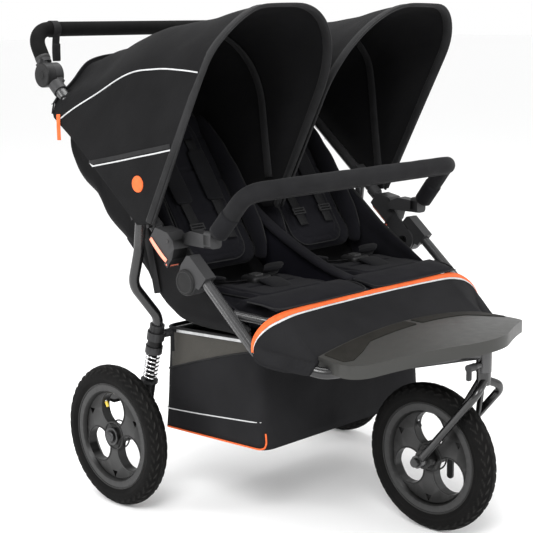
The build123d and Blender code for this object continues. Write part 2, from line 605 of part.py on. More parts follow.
def arch_prism(inset, start_y):
    """The filled arch drawn out along the hood's top line, from start_y to the rear."""
    front_z = top_z(start_y)
    with BuildSketch(Plane.XZ.offset(-start_y)) as arch:
        with BuildLine():
            over = FilletPolyline(
                *arch_points(inset, 400.0, front_z), radius=[HOOD_INNER_ROUND - inset, HOOD_OUTER_ROUND - inset]
            )
            Line(over @ 1, over @ 0)
        make_face()
    rear = (HOOD_REAR_Y + 40.0 - start_y) * (1 + HOOD_TOP_SLOPE**2) ** 0.5
    extrude(arch.sketch, amount=rear, dir=(0, 1, -HOOD_TOP_SLOPE))


with BuildPart() as hood_space:
    arch_prism(HOOD_CLOTH, -200.0)
    slab([(200, 500), (-220, 500), (-220, 1100), (HOOD_REAR_Y - HOOD_CLOTH, 1100), (HOOD_REAR_Y - HOOD_CLOTH, 500)],
         0.0, 400.0, Mode.INTERSECT)

with BuildPart() as hood:
    arch_prism(0.0, -200.0)
    slab([HEM_FOOT, HOOD_PEAK, (HOOD_REAR_Y, top_z(HOOD_REAR_Y)), HOOD_LOW_EDGE[1], HOOD_LOW_EDGE[0]],
         0.0, 400.0, Mode.INTERSECT)
    add(hood_space.part, mode=Mode.SUBTRACT)
    tube_slot = [(HOOD_REAR_Y - 12, 800), (HOOD_REAR_Y + 12, 800), (HOOD_REAR_Y + 12, 925), (HOOD_REAR_Y - 12, 925)]
    slab(tube_slot, SIDE_X - 17.0, SIDE_X + 17.0, Mode.SUBTRACT)
write_pair(hood, "hood")

BOW_THICKNESS = 2.2
BOW_WIDTH = 8.0
PIN_R = 4.0


def build_bow(angle, inset, rounds, reach):
    """A flat sprung bow turned up by an angle about the hood's pivot; reach is its height."""
    lift = radians(angle)
    bow_plane = Plane(origin=(0, *HOOD_PIVOT), x_dir=(1, 0, 0), z_dir=(0, -sin(lift), cos(lift)))
    with BuildPart() as bow:
        with BuildSketch(bow_plane.offset(-BOW_WIDTH / 2)):
            with BuildLine():
                outside = FilletPolyline(*arch_points(inset, 0.0, reach + inset), radius=rounds)
                within = FilletPolyline(
                    *arch_points(inset + BOW_THICKNESS, 0.0, reach + inset),
                    radius=[rounds[0] - BOW_THICKNESS, rounds[1] - BOW_THICKNESS],
                )
                Line(outside @ 0, within @ 0)
                Line(outside @ 1, within @ 1)
            make_face()
        extrude(amount=BOW_WIDTH)
        with BuildSketch(bow_plane.offset(-BOW_WIDTH)):
            with Locations((HOOD_INNER_X + 20.0, 0)):
                Rectangle(60.0, 70.0)
        extrude(amount=2 * BOW_WIDTH, mode=Mode.SUBTRACT)
        eye_high = HOOD_OUTER_X - inset
        cross_rod(HOOD_PIVOT, eye_high - BOW_THICKNESS, eye_high, 8.0)
        cross_rod(HOOD_PIVOT, eye_high - BOW_THICKNESS - 1.0, eye_high + 1.0, PIN_R + RUNNING, Mode.SUBTRACT)
    return bow


FRONT_BOW_ANGLE = 117.5
MID_BOW_ANGLE = 84.0
front_bow = build_bow(FRONT_BOW_ANGLE, 3.7, [222.0, 118.0], 471.0)
write_pair(front_bow, "hood_front_bow")
mid_bow = build_bow(MID_BOW_ANGLE, 6.6, [182.0, 108.0], 380.0)
write_pair(mid_bow, "hood_mid_bow")

with BuildPart() as hood_mount:
    collar_low = (SIDE_X, *down_tube(HOOD_PIVOT, 10.0))
    collar_high = (SIDE_X, *down_tube(HOOD_PIVOT, -10.0))
    rod(collar_low, collar_high, 14.0)
    cross_rod(HOOD_PIVOT, SIDE_X + 12.5, SIDE_X + 20.8, PIN_R)
    rod(tube_start, tube_end, UPPER_TUBE_R + SLIP, Mode.SUBTRACT)
write_both(hood_mount, "hood_mounts")

# ---- seats ----
SLING_OUTER_X = 308.0
SLING_CLOTH = 4.0

with BuildPart() as seat_sling:
    rim_line = [(405, 834), (45, 545), (-60, 478), (-120, 440), (-148, 428)]
    belly = [
        (-148, 411), (-93, 403), (44, 404), (105, 426), (150, 463), (196, 523),
        (262, 580), (305, 636), (366, 680), (408, 722), (412, 780),
    ]
    slab(rim_line + belly, -SLING_OUTER_X, SLING_OUTER_X)
    inner_rim = [(400.5, 900), (45, 640), (-60, 540), (-160, 500)]
    inner_belly = [
        (-160, 417), (-93, 407), (43, 408), (103, 429.5), (147, 466), (193, 526),
        (259, 583), (302, 639), (363, 683), (404, 724), (407.5, 780),
    ]
    slab(inner_rim + inner_belly, SLING_CLOTH - SLING_OUTER_X, SLING_OUTER_X - SLING_CLOTH, Mode.SUBTRACT)
    for side in (-1, 1):
        with Locations((side * (SLING_OUTER_X - 6.0), -135.0, 430.0)):
            Box(44.0, 90.0, 80.0, mode=Mode.SUBTRACT)
write(seat_sling.part, "seat_sling")

SEAT_HIGH_X = SEAT_HALF_GAP + SEAT_WIDTH

with BuildPart() as seat_cushion:
    slab([(-156, 421), (-156, 474), (72, 462), (72, 424), (40, 411)], SEAT_HALF_GAP, SEAT_HIGH_X - 10.0)
    fillet(seat_cushion.edges().filter_by(Axis.X), radius=10.0)
write_both(seat_cushion, "seat_cushions")

BACK_LENGTH = 430.0

with BuildPart() as seat_back:
    back_outline = [up_back(d, t) for d, t in [(6, -16), (BACK_LENGTH, -14), (BACK_LENGTH, 12), (6, 14)]]
    slab(back_outline, SEAT_HALF_GAP + 4.0, SEAT_HIGH_X - 4.0)
    fillet(seat_back.edges().filter_by(Axis.X), radius=9.0)
    cross_rod(RECLINE_HINGE, SEAT_HALF_GAP + 4.0, SEAT_HIGH_X - 4.0, 8.0)
write_pair(seat_back, "seat_back")

SEAT_MID_X = SEAT_HALF_GAP + SEAT_WIDTH / 2

with BuildPart() as shoulder_straps:
    for strap_x in (SEAT_MID_X - 55.0, SEAT_MID_X + 55.0):
        slab([up_back(d, t) for d, t in [(70, -21), (330, -20), (330, -16), (70, -17)]], strap_x - 19.0, strap_x + 19.0)
write_pair(shoulder_straps, "shoulder_straps")

BUCKLE_Y, BUCKLE_Z = -20.0, 487.0

with BuildPart() as crotch_buckle:
    with Locations((SEAT_MID_X, BUCKLE_Y + 10.0, BUCKLE_Z)):
        Box(52.0, 46.0, 16.0)
    fillet(crotch_buckle.edges().filter_by(Axis.Z), radius=8.0)
    with Locations((SEAT_MID_X, BUCKLE_Y + 10.0, BUCKLE_Z + 8.0)):
        Box(22.2, 22.2, 12.0, mode=Mode.SUBTRACT)
    slab([(-62, 475.5), (-62, 479), (-33.3, 488), (-33.3, 484)], SEAT_MID_X - 17.0, SEAT_MID_X + 17.0)
write_both(crotch_buckle, "crotch_buckles")

with BuildPart() as buckle_button:
    with Locations((SEAT_MID_X, BUCKLE_Y + 10.0, BUCKLE_Z + 8.0)):
        Box(22.0, 22.0, 5.0)
    fillet(buckle_button.edges().filter_by(Axis.Z), radius=4.0)
write_pair(buckle_button, "buckle_button")

# ---- bumper bar ----
FOAM_R = 19.0
BUMPER_MIDDLE = (-212.0, 702.0)
CLIP_REAR_Y = SOCKET_FRONT_Y - 0.6
CLIP_FRONT_Y = CLIP_REAR_Y - 20.0

with BuildPart() as bumper_bar:
    bumper_route = [
        (-SOCKET_X, CLIP_FRONT_Y - 0.5, 600.0), (-302.0, -140.0, 688.0), (-215.0, *BUMPER_MIDDLE),
        (215.0, *BUMPER_MIDDLE), (302.0, -140.0, 688.0), (SOCKET_X, CLIP_FRONT_Y - 0.5, 600.0),
    ]
    bent_tube(bumper_route, [52.0, 60.0, 60.0, 52.0], FOAM_R)
    straight_middle(BUMPER_MIDDLE, 170.0, FOAM_R)
    with Locations((0, CLIP_FRONT_Y + 50.0, 600.0)):
        Box(800.0, 100.0, 200.0, mode=Mode.SUBTRACT)
write(bumper_bar.part, "bumper_bar")

with BuildPart() as bumper_clip:
    with Locations((SOCKET_X, (CLIP_REAR_Y + CLIP_FRONT_Y) / 2, SOCKET_Z + 3.0)):
        Box(30.0, CLIP_REAR_Y - CLIP_FRONT_Y, 34.0)
    fillet(bumper_clip.edges().filter_by(Axis.Y), radius=8.0)
    rod((SOCKET_X, CLIP_REAR_Y - 1.0, SOCKET_Z), (SOCKET_X, SOCKET_FRONT_Y + PLUG_LENGTH, SOCKET_Z), PLUG_R)
write_both(bumper_clip, "bumper_clips")

# ---- basket under the seats ----
BASKET_X = 250.0
BASKET_CLOTH = 3.0

with BuildPart() as basket:
    slab([(-129, 168), (-116, 392), (-80, 390), (130, 360), (172, 154)], -BASKET_X, BASKET_X)
    slab([(-126, 171), (-113, 450), (-80, 450), (115, 450), (127, 360), (169, 157)],
         BASKET_CLOTH - BASKET_X, BASKET_X - BASKET_CLOTH, Mode.SUBTRACT)
write(basket.part, "basket")
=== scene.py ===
import math

import bmesh
import bpy
import numpy as np
from mathutils import Matrix, Vector
from mathutils.bvhtree import BVHTree


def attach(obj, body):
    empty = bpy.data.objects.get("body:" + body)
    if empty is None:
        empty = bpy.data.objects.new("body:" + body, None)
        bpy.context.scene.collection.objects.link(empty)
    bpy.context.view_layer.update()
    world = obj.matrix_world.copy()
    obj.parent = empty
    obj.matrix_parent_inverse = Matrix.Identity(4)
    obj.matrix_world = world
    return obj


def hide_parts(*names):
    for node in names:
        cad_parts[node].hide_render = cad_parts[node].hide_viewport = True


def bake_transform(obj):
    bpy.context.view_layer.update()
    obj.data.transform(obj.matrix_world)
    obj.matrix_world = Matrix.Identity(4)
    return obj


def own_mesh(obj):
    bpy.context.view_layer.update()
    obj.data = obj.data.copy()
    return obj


# The looks of a side-by-side jogging stroller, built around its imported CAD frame.
# Shapes are worked out in millimetres in the CAD's own frame and turned into metres as they are made.
# Handed pieces are made on the stroller's left (+X) and mirrored.

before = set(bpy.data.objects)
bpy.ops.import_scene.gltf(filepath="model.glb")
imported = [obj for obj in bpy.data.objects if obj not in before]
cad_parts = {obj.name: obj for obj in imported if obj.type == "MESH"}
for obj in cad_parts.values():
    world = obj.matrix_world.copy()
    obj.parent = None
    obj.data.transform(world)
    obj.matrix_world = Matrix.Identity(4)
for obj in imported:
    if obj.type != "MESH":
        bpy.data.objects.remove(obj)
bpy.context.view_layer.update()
MM = 0.001
SIDES = (("left", 1), ("right", -1))

# ---------------------------------------------------------------- materials


def new_material(name):
    mat = bpy.data.materials.new(name)
    mat.use_nodes = True
    tree = mat.node_tree
    tree.nodes.clear()
    out = tree.nodes.new("ShaderNodeOutputMaterial")
    shader = tree.nodes.new("ShaderNodeBsdfPrincipled")
    tree.links.new(shader.outputs[0], out.inputs[0])
    return mat, tree, shader, out


def put(tree, kind, inputs=None, **settings):
    node = tree.nodes.new("ShaderNode" + kind)
    for key, value in settings.items():
        setattr(node, key, value)
    for key, value in (inputs or {}).items():
        if isinstance(value, bpy.types.NodeSocket):
            tree.links.new(value, node.inputs[key])
        else:
            node.inputs[key].default_value = value
    return node


def weave_height(tree, coords, thread):
    """Over-and-under threads: two crossed sets of bands."""
    across = put(tree, "TexWave", {"Vector": coords, "Scale": 0.31 / thread}, bands_direction="X")
    along = put(tree, "TexWave", {"Vector": coords, "Scale": 0.31 / thread}, bands_direction="Y")
    return put(tree, "Math", {0: across.outputs[1], 1: along.outputs[1]}, operation="MAXIMUM").outputs[0]


def surface(
    name, dark, light, rough, patch=18.0, grain=900.0, bump=0.15, relief=0.0004, metallic=0.0,
    sheen=0.0, coat=0.0, thread=None, wear=None, coords="Object", crease=0.0, ribs=None, specular=0.5,
):
    """One procedural material: mottled colour, broken-up roughness, and grain or weave in relief."""
    mat, tree, shader, out = new_material(name)
    where = put(tree, "TexCoord").outputs[coords]
    mottle = put(tree, "TexNoise", {"Vector": where, "Scale": patch, "Detail": 5.0, "Roughness": 0.6})
    ramp = put(tree, "ValToRGB", {0: mottle.outputs[0]})
    ramp.color_ramp.elements[0].position = 0.32
    ramp.color_ramp.elements[1].position = 0.68
    ramp.color_ramp.elements[0].color = (*dark, 1)
    ramp.color_ramp.elements[1].color = (*light, 1)
    colour = ramp.outputs[0]
    if wear:
        edges = put(tree, "NewGeometry").outputs["Pointiness"]
        edge_ramp = put(tree, "ValToRGB", {0: edges})
        edge_ramp.color_ramp.elements[0].position = 0.515
        edge_ramp.color_ramp.elements[1].position = 0.60
        worn = put(tree, "Mix", {0: edge_ramp.outputs[0], 6: colour, 7: (*wear, 1)}, data_type="RGBA")
        colour = worn.outputs[2]
    tree.links.new(colour, shader.inputs["Base Color"])
    smear = put(tree, "TexNoise", {"Vector": where, "Scale": patch * 2.7, "Detail": 3.0})
    span = put(tree, "MapRange", {0: smear.outputs[0], 3: max(rough - 0.09, 0.03), 4: min(rough + 0.09, 1.0)})
    tree.links.new(span.outputs[0], shader.inputs["Roughness"])
    if thread:
        height = weave_height(tree, where, thread)
    elif ribs:
        height = put(tree, "TexWave", {"Vector": where, "Scale": 0.31 / ribs}, bands_direction="Y").outputs[1]
    else:
        height = put(tree, "TexNoise", {"Vector": where, "Scale": grain, "Detail": 2.0}).outputs[0]
    relief_node = put(tree, "Bump", {"Strength": bump, "Distance": relief, "Height": height})
    if crease:
        folds = put(tree, "TexNoise", {"Vector": where, "Scale": 9.0, "Detail": 3.0, "Distortion": 0.8})
        relief_node = put(
            tree, "Bump",
            {
                "Strength": 0.5, "Distance": crease, "Height": folds.outputs[0],
                "Normal": relief_node.outputs[0]
            },
        )
    tree.links.new(relief_node.outputs[0], shader.inputs["Normal"])
    shader.inputs["Metallic"].default_value = metallic
    shader.inputs["Sheen Weight"].default_value = sheen
    shader.inputs["Sheen Roughness"].default_value = 0.45
    shader.inputs["Coat Weight"].default_value = coat
    shader.inputs["Coat Roughness"].default_value = 0.25
    shader.inputs["Specular IOR Level"].default_value = specular
    return mat


def mesh_fabric(name, colour, cell):
    """Open netting: a grid of threads with see-through holes."""
    mat, tree, shader, out = new_material(name)
    where = put(tree, "TexCoord").outputs["UV"]
    threads = weave_height(tree, where, cell)
    solid = put(tree, "Math", {0: threads, 1: 0.62}, operation="GREATER_THAN")
    mottle = put(tree, "TexNoise", {"Vector": where, "Scale": 25.0, "Detail": 3.0})
    ramp = put(tree, "ValToRGB", {0: mottle.outputs[0]})
    ramp.color_ramp.elements[0].color = (*[c * 0.7 for c in colour], 1)
    ramp.color_ramp.elements[1].color = (*colour, 1)
    tree.links.new(ramp.outputs[0], shader.inputs["Base Color"])
    tree.links.new(solid.outputs[0], shader.inputs["Alpha"])
    shader.inputs["Roughness"].default_value = 0.8
    shader.inputs["Sheen Weight"].default_value = 0.2
    return mat


M = {
    "hood": surface(
        "hood_weave", (0.0036, 0.0036, 0.0040), (0.0061, 0.0061, 0.0066), 0.82, patch=6, bump=0.3,
        relief=0.0003, thread=0.0009, coords="UV", crease=0.006, specular=0.12
    ),
    "apron": surface(
        "apron_weave", (0.0076, 0.0076, 0.0084), (0.0128, 0.0128, 0.0139), 0.82, patch=6, bump=0.3,
        relief=0.0003, thread=0.0009, coords="UV", crease=0.006, specular=0.12
    ),
    "lining": surface(
        "lining_weave", (0.0037, 0.0037, 0.0065), (0.0068, 0.0065, 0.0105), 0.85, patch=7, bump=0.25,
        relief=0.0002, thread=0.0008, coords="UV", crease=0.005, specular=0.14
    ),
    "pad": surface(
        "pad_cloth", (0.0036, 0.0036, 0.0052), (0.0068, 0.0066, 0.0088), 0.88, patch=14, grain=1500,
        bump=0.4, relief=0.0005, sheen=0.03, crease=0.004, specular=0.12
    ),
    "pad_light": surface(
        "pad_trim_cloth", (0.0043, 0.0043, 0.0053), (0.0070, 0.0070, 0.0083), 0.85, patch=14, grain=1400,
        bump=0.4, relief=0.0005, sheen=0.04, crease=0.004, specular=0.14
    ),
    "foam": surface(
        "foam_cover", (0.0079, 0.0079, 0.0086), (0.0112, 0.0112, 0.0121), 0.88, patch=22, grain=1700,
        bump=0.45, relief=0.0005, sheen=0.04, crease=0.002, specular=0.1
    ),
    "grip": surface(
        "grip_foam", (0.0027, 0.0027, 0.0027), (0.0048, 0.0048, 0.0048), 0.85, patch=30, grain=1100,
        bump=0.5, relief=0.0006, specular=0.1
    ),
    "webbing": surface(
        "strap_webbing", (0.0050, 0.0050, 0.0055), (0.0100, 0.0100, 0.0108), 0.72, patch=40, bump=0.6,
        relief=0.0004, thread=0.0016, specular=0.2
    ),
    "binding": surface(
        "edge_binding", (0.0080, 0.0080, 0.0086), (0.0132, 0.0132, 0.0140), 0.75, patch=30, bump=0.5,
        relief=0.0003, sheen=0.03, thread=0.0012, specular=0.2
    ),
    "piping": surface(
        "reflective_piping", (0.40, 0.405, 0.41), (0.54, 0.545, 0.55), 0.42, patch=60, grain=1800,
        bump=0.15
    ),
    "orange": surface(
        "orange_tape", (0.64, 0.098, 0.020), (0.72, 0.135, 0.034), 0.62, patch=60, bump=0.3,
        relief=0.0003, thread=0.0012, specular=0.25
    ),
    "paint": surface(
        "satin_black_paint", (0.0022, 0.0022, 0.0025), (0.0037, 0.0037, 0.0040), 0.24, patch=30,
        grain=2500, bump=0.06, relief=0.0001, coat=0.3, wear=(0.03, 0.03, 0.031), specular=0.4
    ),
    "plastic": surface(
        "moulded_black", (0.0021, 0.0021, 0.0022), (0.0035, 0.0035, 0.0036), 0.46, patch=25, grain=1600,
        bump=0.3, relief=0.00025, wear=(0.03, 0.03, 0.031), specular=0.2
    ),
    "plastic_grey": surface(
        "moulded_grey", (0.0042, 0.0042, 0.0044), (0.0060, 0.0060, 0.0062), 0.5, patch=25, grain=1600,
        bump=0.25, relief=0.0002, wear=(0.05, 0.05, 0.05), specular=0.2
    ),
    "footplate": surface(
        "footplate_black", (0.0029, 0.0028, 0.0027), (0.0043, 0.0042, 0.0040), 0.4, patch=18, grain=1300,
        bump=0.35, relief=0.0003, wear=(0.04, 0.04, 0.038), specular=0.1
    ),
    "ribbed": surface(
        "ribbed_rubber", (0.0113, 0.0108, 0.0091), (0.0165, 0.0156, 0.0134), 0.7, patch=30, bump=0.8,
        relief=0.0009, ribs=0.0042, specular=0.12
    ),
    "rim": surface(
        "rim_black", (0.0017, 0.0016, 0.0015), (0.0026, 0.0026, 0.0025), 0.36, patch=22, grain=1500,
        bump=0.2, relief=0.0002, coat=0.1, wear=(0.03, 0.03, 0.03), specular=0.14
    ),
    "tyre": surface(
        "tyre_rubber", (0.0024, 0.0024, 0.0024), (0.0044, 0.0042, 0.0040), 0.72, patch=26, grain=1100,
        bump=0.35, relief=0.0004, wear=(0.034, 0.033, 0.031), specular=0.08
    ),
    "steel": surface(
        "plated_steel", (0.42, 0.42, 0.43), (0.54, 0.54, 0.55), 0.32, patch=40, grain=2200, bump=0.08,
        relief=0.0001, metallic=1.0
    ),
    "dark_steel": surface(
        "blackened_steel", (0.045, 0.045, 0.046), (0.075, 0.075, 0.076), 0.36, patch=40, grain=2200,
        bump=0.1, relief=0.0001, metallic=1.0
    ),
    "chrome": surface(
        "bright_chrome", (0.72, 0.72, 0.73), (0.84, 0.84, 0.85), 0.13, patch=40, grain=2200, bump=0.03,
        relief=0.0001, metallic=1.0
    ),
    "red": surface(
        "red_plastic", (0.66, 0.060, 0.016), (0.76, 0.085, 0.026), 0.4, patch=30, grain=1500, bump=0.15,
        relief=0.0002, wear=(0.9, 0.3, 0.2)
    ),
    "yellow": surface(
        "yellow_cap", (0.65, 0.46, 0.05), (0.75, 0.55, 0.08), 0.45, patch=30, grain=1200, bump=0.1
    ),
    "net": mesh_fabric("basket_netting", (0.050, 0.046, 0.038), 0.0022),
}

# ---------------------------------------------------------------- mesh helpers


def finish_mesh(name, verts, faces, material, uvs=None, smooth=True, materials=None, face_materials=None):
    """An object from vertices in millimetres. uvs, one per vertex, are in metres of cloth."""
    mesh = bpy.data.meshes.new(name)
    mesh.from_pydata([tuple(v) for v in np.asarray(verts, float) * MM], [], [tuple(f) for f in faces])
    for mat in materials or [material]:
        mesh.materials.append(mat)
    if uvs is not None:
        layer = mesh.uv_layers.new(name="cloth")
        corner = np.zeros(len(mesh.loops), np.int32)
        mesh.loops.foreach_get("vertex_index", corner)
        layer.data.foreach_set("uv", np.asarray(uvs, np.float32)[corner].ravel())
    if face_materials is not None:
        mesh.polygons.foreach_set("material_index", np.asarray(face_materials, np.int32))
    if smooth:
        mesh.shade_smooth()
    mesh.validate()
    mesh.update()
    obj = bpy.data.objects.new(name, mesh)
    bpy.context.scene.collection.objects.link(obj)
    return obj


def grid_faces(rows, cols, wrap=False):
    faces = []
    for i in range(rows - 1):
        for j in range(cols if wrap else cols - 1):
            k = (j + 1) % cols
            faces.append((i * cols + j, i * cols + k, (i + 1) * cols + k, (i + 1) * cols + j))
    return faces


def grid_uv(grid):
    """Lengths along the rows and columns of a grid, in metres."""
    du = np.linalg.norm(np.diff(grid, axis=1), axis=2)
    dv = np.linalg.norm(np.diff(grid, axis=0), axis=2)
    u = np.concatenate([np.zeros((grid.shape[0], 1)), np.cumsum(du, axis=1)], axis=1)
    v = np.concatenate([np.zeros((1, grid.shape[1])), np.cumsum(dv, axis=0)], axis=0)
    u = u - u[:, grid.shape[1] // 2][:, None]
    return np.stack([u, v], axis=2).reshape(-1, 2) * MM


def grid_sheet(name, grid, material, thick=1.6, offset=-1.0, wrap=False, **more):
    """A sheet of cloth over a grid of points, given its thickness."""
    rows, cols = grid.shape[:2]
    obj = finish_mesh(
        name, grid.reshape(-1, 3), grid_faces(rows, cols, wrap), material, grid_uv(grid), **more
    )
    if thick:
        solid = obj.modifiers.new("cloth", "SOLIDIFY")
        solid.thickness = thick * MM
        solid.offset = offset
        if more.get("materials"):
            solid.material_offset = 0
    return obj


def tangents(path, closed=False):
    path = np.asarray(path, float)
    if closed:
        step = np.roll(path, -1, axis=0) - np.roll(path, 1, axis=0)
    else:
        step = np.gradient(path, axis=0)
    return step / np.maximum(np.linalg.norm(step, axis=1)[:, None], 1e-9)


def sweep(name, path, section, up, material, closed=False, scale=None, cap=True, **more):
    """A section of (a, b) points carried along a path: a lies along up, b across it."""
    path = np.asarray(path, float)
    count = len(path)
    t = tangents(path, closed)
    up = np.broadcast_to(np.asarray(up, float), path.shape)
    a = up - (up * t).sum(1)[:, None] * t
    a = a / np.maximum(np.linalg.norm(a, axis=1)[:, None], 1e-9)
    b = np.cross(t, a)
    size = np.ones((count, 2)) if scale is None else np.asarray(
        scale, float
    ).reshape(count, -1) * np.ones((1, 2))
    section = np.asarray(section, float)
    m = len(section)
    grid = (
        path[:, None]
        + a[:, None] * (section[None, :, 0] * size[:, :1])[:, :, None]
        + b[:, None] * (section[None, :, 1] * size[:, 1:])[:, :, None]
    )
    verts = grid.reshape(-1, 3)
    faces = [f[::-1] for f in grid_faces(count, m, True)]
    if closed:
        last = (count - 1) * m
        faces += [(last + j, j, (j + 1) % m, last + (j + 1) % m)[::-1] for j in range(m)]
        faces = [f for f in faces]
    elif cap:
        faces.append(tuple(range(m)))
        faces.append(tuple(reversed(range((count - 1) * m, count * m))))
    uv = np.stack(
        [
            np.tile(np.arange(m) / m * 0.05, count),
            np.repeat(
                np.concatenate([[0], np.cumsum(np.linalg.norm(np.diff(path, axis=0), axis=1))]) * MM, m
            ),
        ],
        axis=1,
    )
    obj = finish_mesh(name, verts, faces, material, uv, **more)
    fix_normals(obj)
    return obj


def fix_normals(obj):
    bm = bmesh.new()
    bm.from_mesh(obj.data)
    bmesh.ops.recalc_face_normals(bm, faces=bm.faces)
    bm.to_mesh(obj.data)
    bm.free()


def ring(radius, count=10, flat=1.0):
    angles = np.arange(count) / count * 2 * math.pi
    return np.stack([radius * np.cos(angles), radius * flat * np.sin(angles)], axis=1)


def band(thick, width, soft=0.35):
    """The section of a flat strap."""
    t, w, c = thick / 2, width / 2, min(thick, width) * soft
    return [
        (t, w - c), (t - c, w), (c - t, w), (-t, w - c), (-t, c - w), (c - t, -w), (t - c, -w), (t, c - w)
    ]


def smooth_path(points, step=8.0):
    """Points along a smooth curve through the given ones (Catmull-Rom)."""
    p = np.asarray(points, float)
    if len(p) == 2:
        count = max(2, int(np.linalg.norm(p[1] - p[0]) / step) + 1)
        return p[0] + (p[1] - p[0]) * np.linspace(0, 1, count)[:, None]
    q = np.vstack([2 * p[0] - p[1], p, 2 * p[-1] - p[-2]])
    out = []
    for i in range(1, len(q) - 2):
        length = np.linalg.norm(q[i + 1] - q[i])
        n = max(2, int(length / step))
        t = np.arange(n)[:, None] / n
        out.append(
            0.5 * (
                2 * q[i] + (q[i + 1] - q[i - 1]) * t + (
                    2 * q[i - 1] - 5 * q[i] + 4 * q[i + 1] - q[i + 2]
                ) * t**2 + (3 * q[i] - q[i - 1] - 3 * q[i + 1] + q[i + 2]) * t**3
            )
        )
    out.append(p[-1:])
    return np.vstack(out)


def rounded_path(points, radii, step=6.0):
    """Straight runs joined by arcs, like a bent tube's centre line."""
    p = [np.asarray(q, float) for q in points]
    out = [p[0]]
    for before, corner, after, radius in zip(p, p[1:], p[2:], radii):
        d1 = (corner - before) / np.linalg.norm(corner - before)
        d2 = (after - corner) / np.linalg.norm(after - corner)
        turn = math.acos(max(-1.0, min(1.0, float(d1 @ d2))))
        reach = radius * math.tan(turn / 2)
        start, end = corner - d1 * reach, corner + d2 * reach
        middle = d2 - d1
        centre = corner + middle / np.linalg.norm(middle) * radius / math.cos(turn / 2)
        n = max(3, int(radius * turn / step))
        for k in range(n + 1):
            s = k / n
            mix = (start - centre) * math.sin((1 - s) * turn) + (end - centre) * math.sin(s * turn)
            out.append(centre + mix / math.sin(turn))
    out.append(p[-1])
    return resample(np.array(out), step)


def resample(path, step):
    gaps = np.linalg.norm(np.diff(path, axis=0), axis=1)
    along = np.concatenate([[0], np.cumsum(gaps)])
    count = max(2, int(along[-1] / step) + 1)
    at = np.linspace(0, along[-1], count)
    return np.stack([np.interp(at, along, path[:, k]) for k in range(3)], axis=1)


def nearest_on(points, line):
    """Nearest point of a broken line to each point, and the distance."""
    a, b = line[:-1], line[1:]
    d = b - a
    t = np.clip(((points[:, None] - a[None]) * d[None]).sum(2) / np.maximum((d * d).sum(1), 1e-9)[None], 0, 1)
    q = a[None] + t[:, :, None] * d[None]
    gap = np.linalg.norm(points[:, None] - q, axis=2)
    best = gap.argmin(1)
    rows = np.arange(len(points))
    return q[rows, best], gap[rows, best]


def push_out(points, line, radius):
    """Moves points that lie within radius of a line out to that radius."""
    near, gap = nearest_on(points, line)
    inside = gap < radius
    out = points.copy()
    step = (points - near) / np.maximum(gap, 1e-6)[:, None]
    out[inside] = near[inside] + step[inside] * radius
    return out


def value_noise(points, scale, seed=0):
    """Smooth noise from -1 to 1 at each point; scale is the size of one ripple in millimetres."""
    q = points / scale + seed * 17.3
    return (
        np.sin(q[:, 0] * 1.3 + 1.7 * np.sin(q[:, 1] * 0.9 + seed))
        + np.sin(q[:, 1] * 1.7 + 1.3 * np.sin(q[:, 2] * 1.1 + 2 * seed))
        + np.sin(q[:, 2] * 1.5 + 1.9 * np.sin(q[:, 0] * 0.8 + 3 * seed))
    ) / 3


def mirrored(obj, name):
    """A copy of a finished piece on the stroller's other side."""
    mesh = obj.data.copy()
    mesh.transform(Matrix.Diagonal((-1, 1, 1, 1)))
    mesh.flip_normals()
    copy = bpy.data.objects.new(name, mesh)
    bpy.context.scene.collection.objects.link(copy)
    for mod in obj.modifiers:
        new = copy.modifiers.new(mod.name, mod.type)
        if mod.type == "SOLIDIFY":
            new.thickness, new.offset = mod.thickness, mod.offset
        if mod.type == "SUBSURF":
            new.levels = new.render_levels = mod.levels
        if mod.type == "BEVEL":
            new.width, new.segments = mod.width, mod.segments
    return copy


def soften(obj, levels=1):
    mod = obj.modifiers.new("smooth", "SUBSURF")
    mod.levels = mod.render_levels = levels
    return obj


def both(make, stem, body, *args, slot=None, **more):
    """Makes the left piece, mirrors it, and rides each on its own side's body."""
    left = make(f"{stem}_left", *args, **more)
    right = mirrored(left, f"{stem}_right")
    for obj, side in ((left, "left"), (right, "right")):
        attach(obj, body.replace("SIDE", side))
    return left, right


# ---------------------------------------------------------------- the shapes shared with the CAD

TUBE_SLOPE = math.radians(40.3)
HANDLE_PIVOT = np.array([425.0, 894.0])
SIDE_X = 333.0
HOOD_PIVOT = (88.0, 608.3)


def down_tube(start, distance, height=0.0):
    c, s = math.cos(TUBE_SLOPE), math.sin(TUBE_SLOPE)
    return (start[0] - distance * c - height * s, start[1] - distance * s + height * c)


UPPER_LINE = np.array([(SIDE_X, *down_tube(HANDLE_PIVOT, d)) for d in (10.0, 485.0)])
EXIT = (-61.0, 510.0)
FRONT_ROUTE = [
    (SIDE_X, *down_tube(EXIT, -56.0)), (SIDE_X, *down_tube(EXIT, 182.0)), (262.0, -300.0, 363.0),
    (8.0, -463.0, 382.0),
]
FRONT_LINE = rounded_path(FRONT_ROUTE, [50.0, 60.0])

# ---------------------------------------------------------------- hoods

HOOD_IN, HOOD_OUT, R_IN, R_OUT = 4.0, 357.0, 170.0, 100.0
HOOD_REAR = 391.0
HOOD_PEAK = (-150.0, 1035.0)  # y and z of the top line's front end
HOOD_SLOPE = 0.147
HOOD_MIDDLE_X = 181.0
HOOD_CENTRE_DROP = 200.0  # the middle of the hood lies this far below its top line


def hood_top(y):
    return HOOD_PEAK[1] - (y - HOOD_PEAK[0]) * HOOD_SLOPE


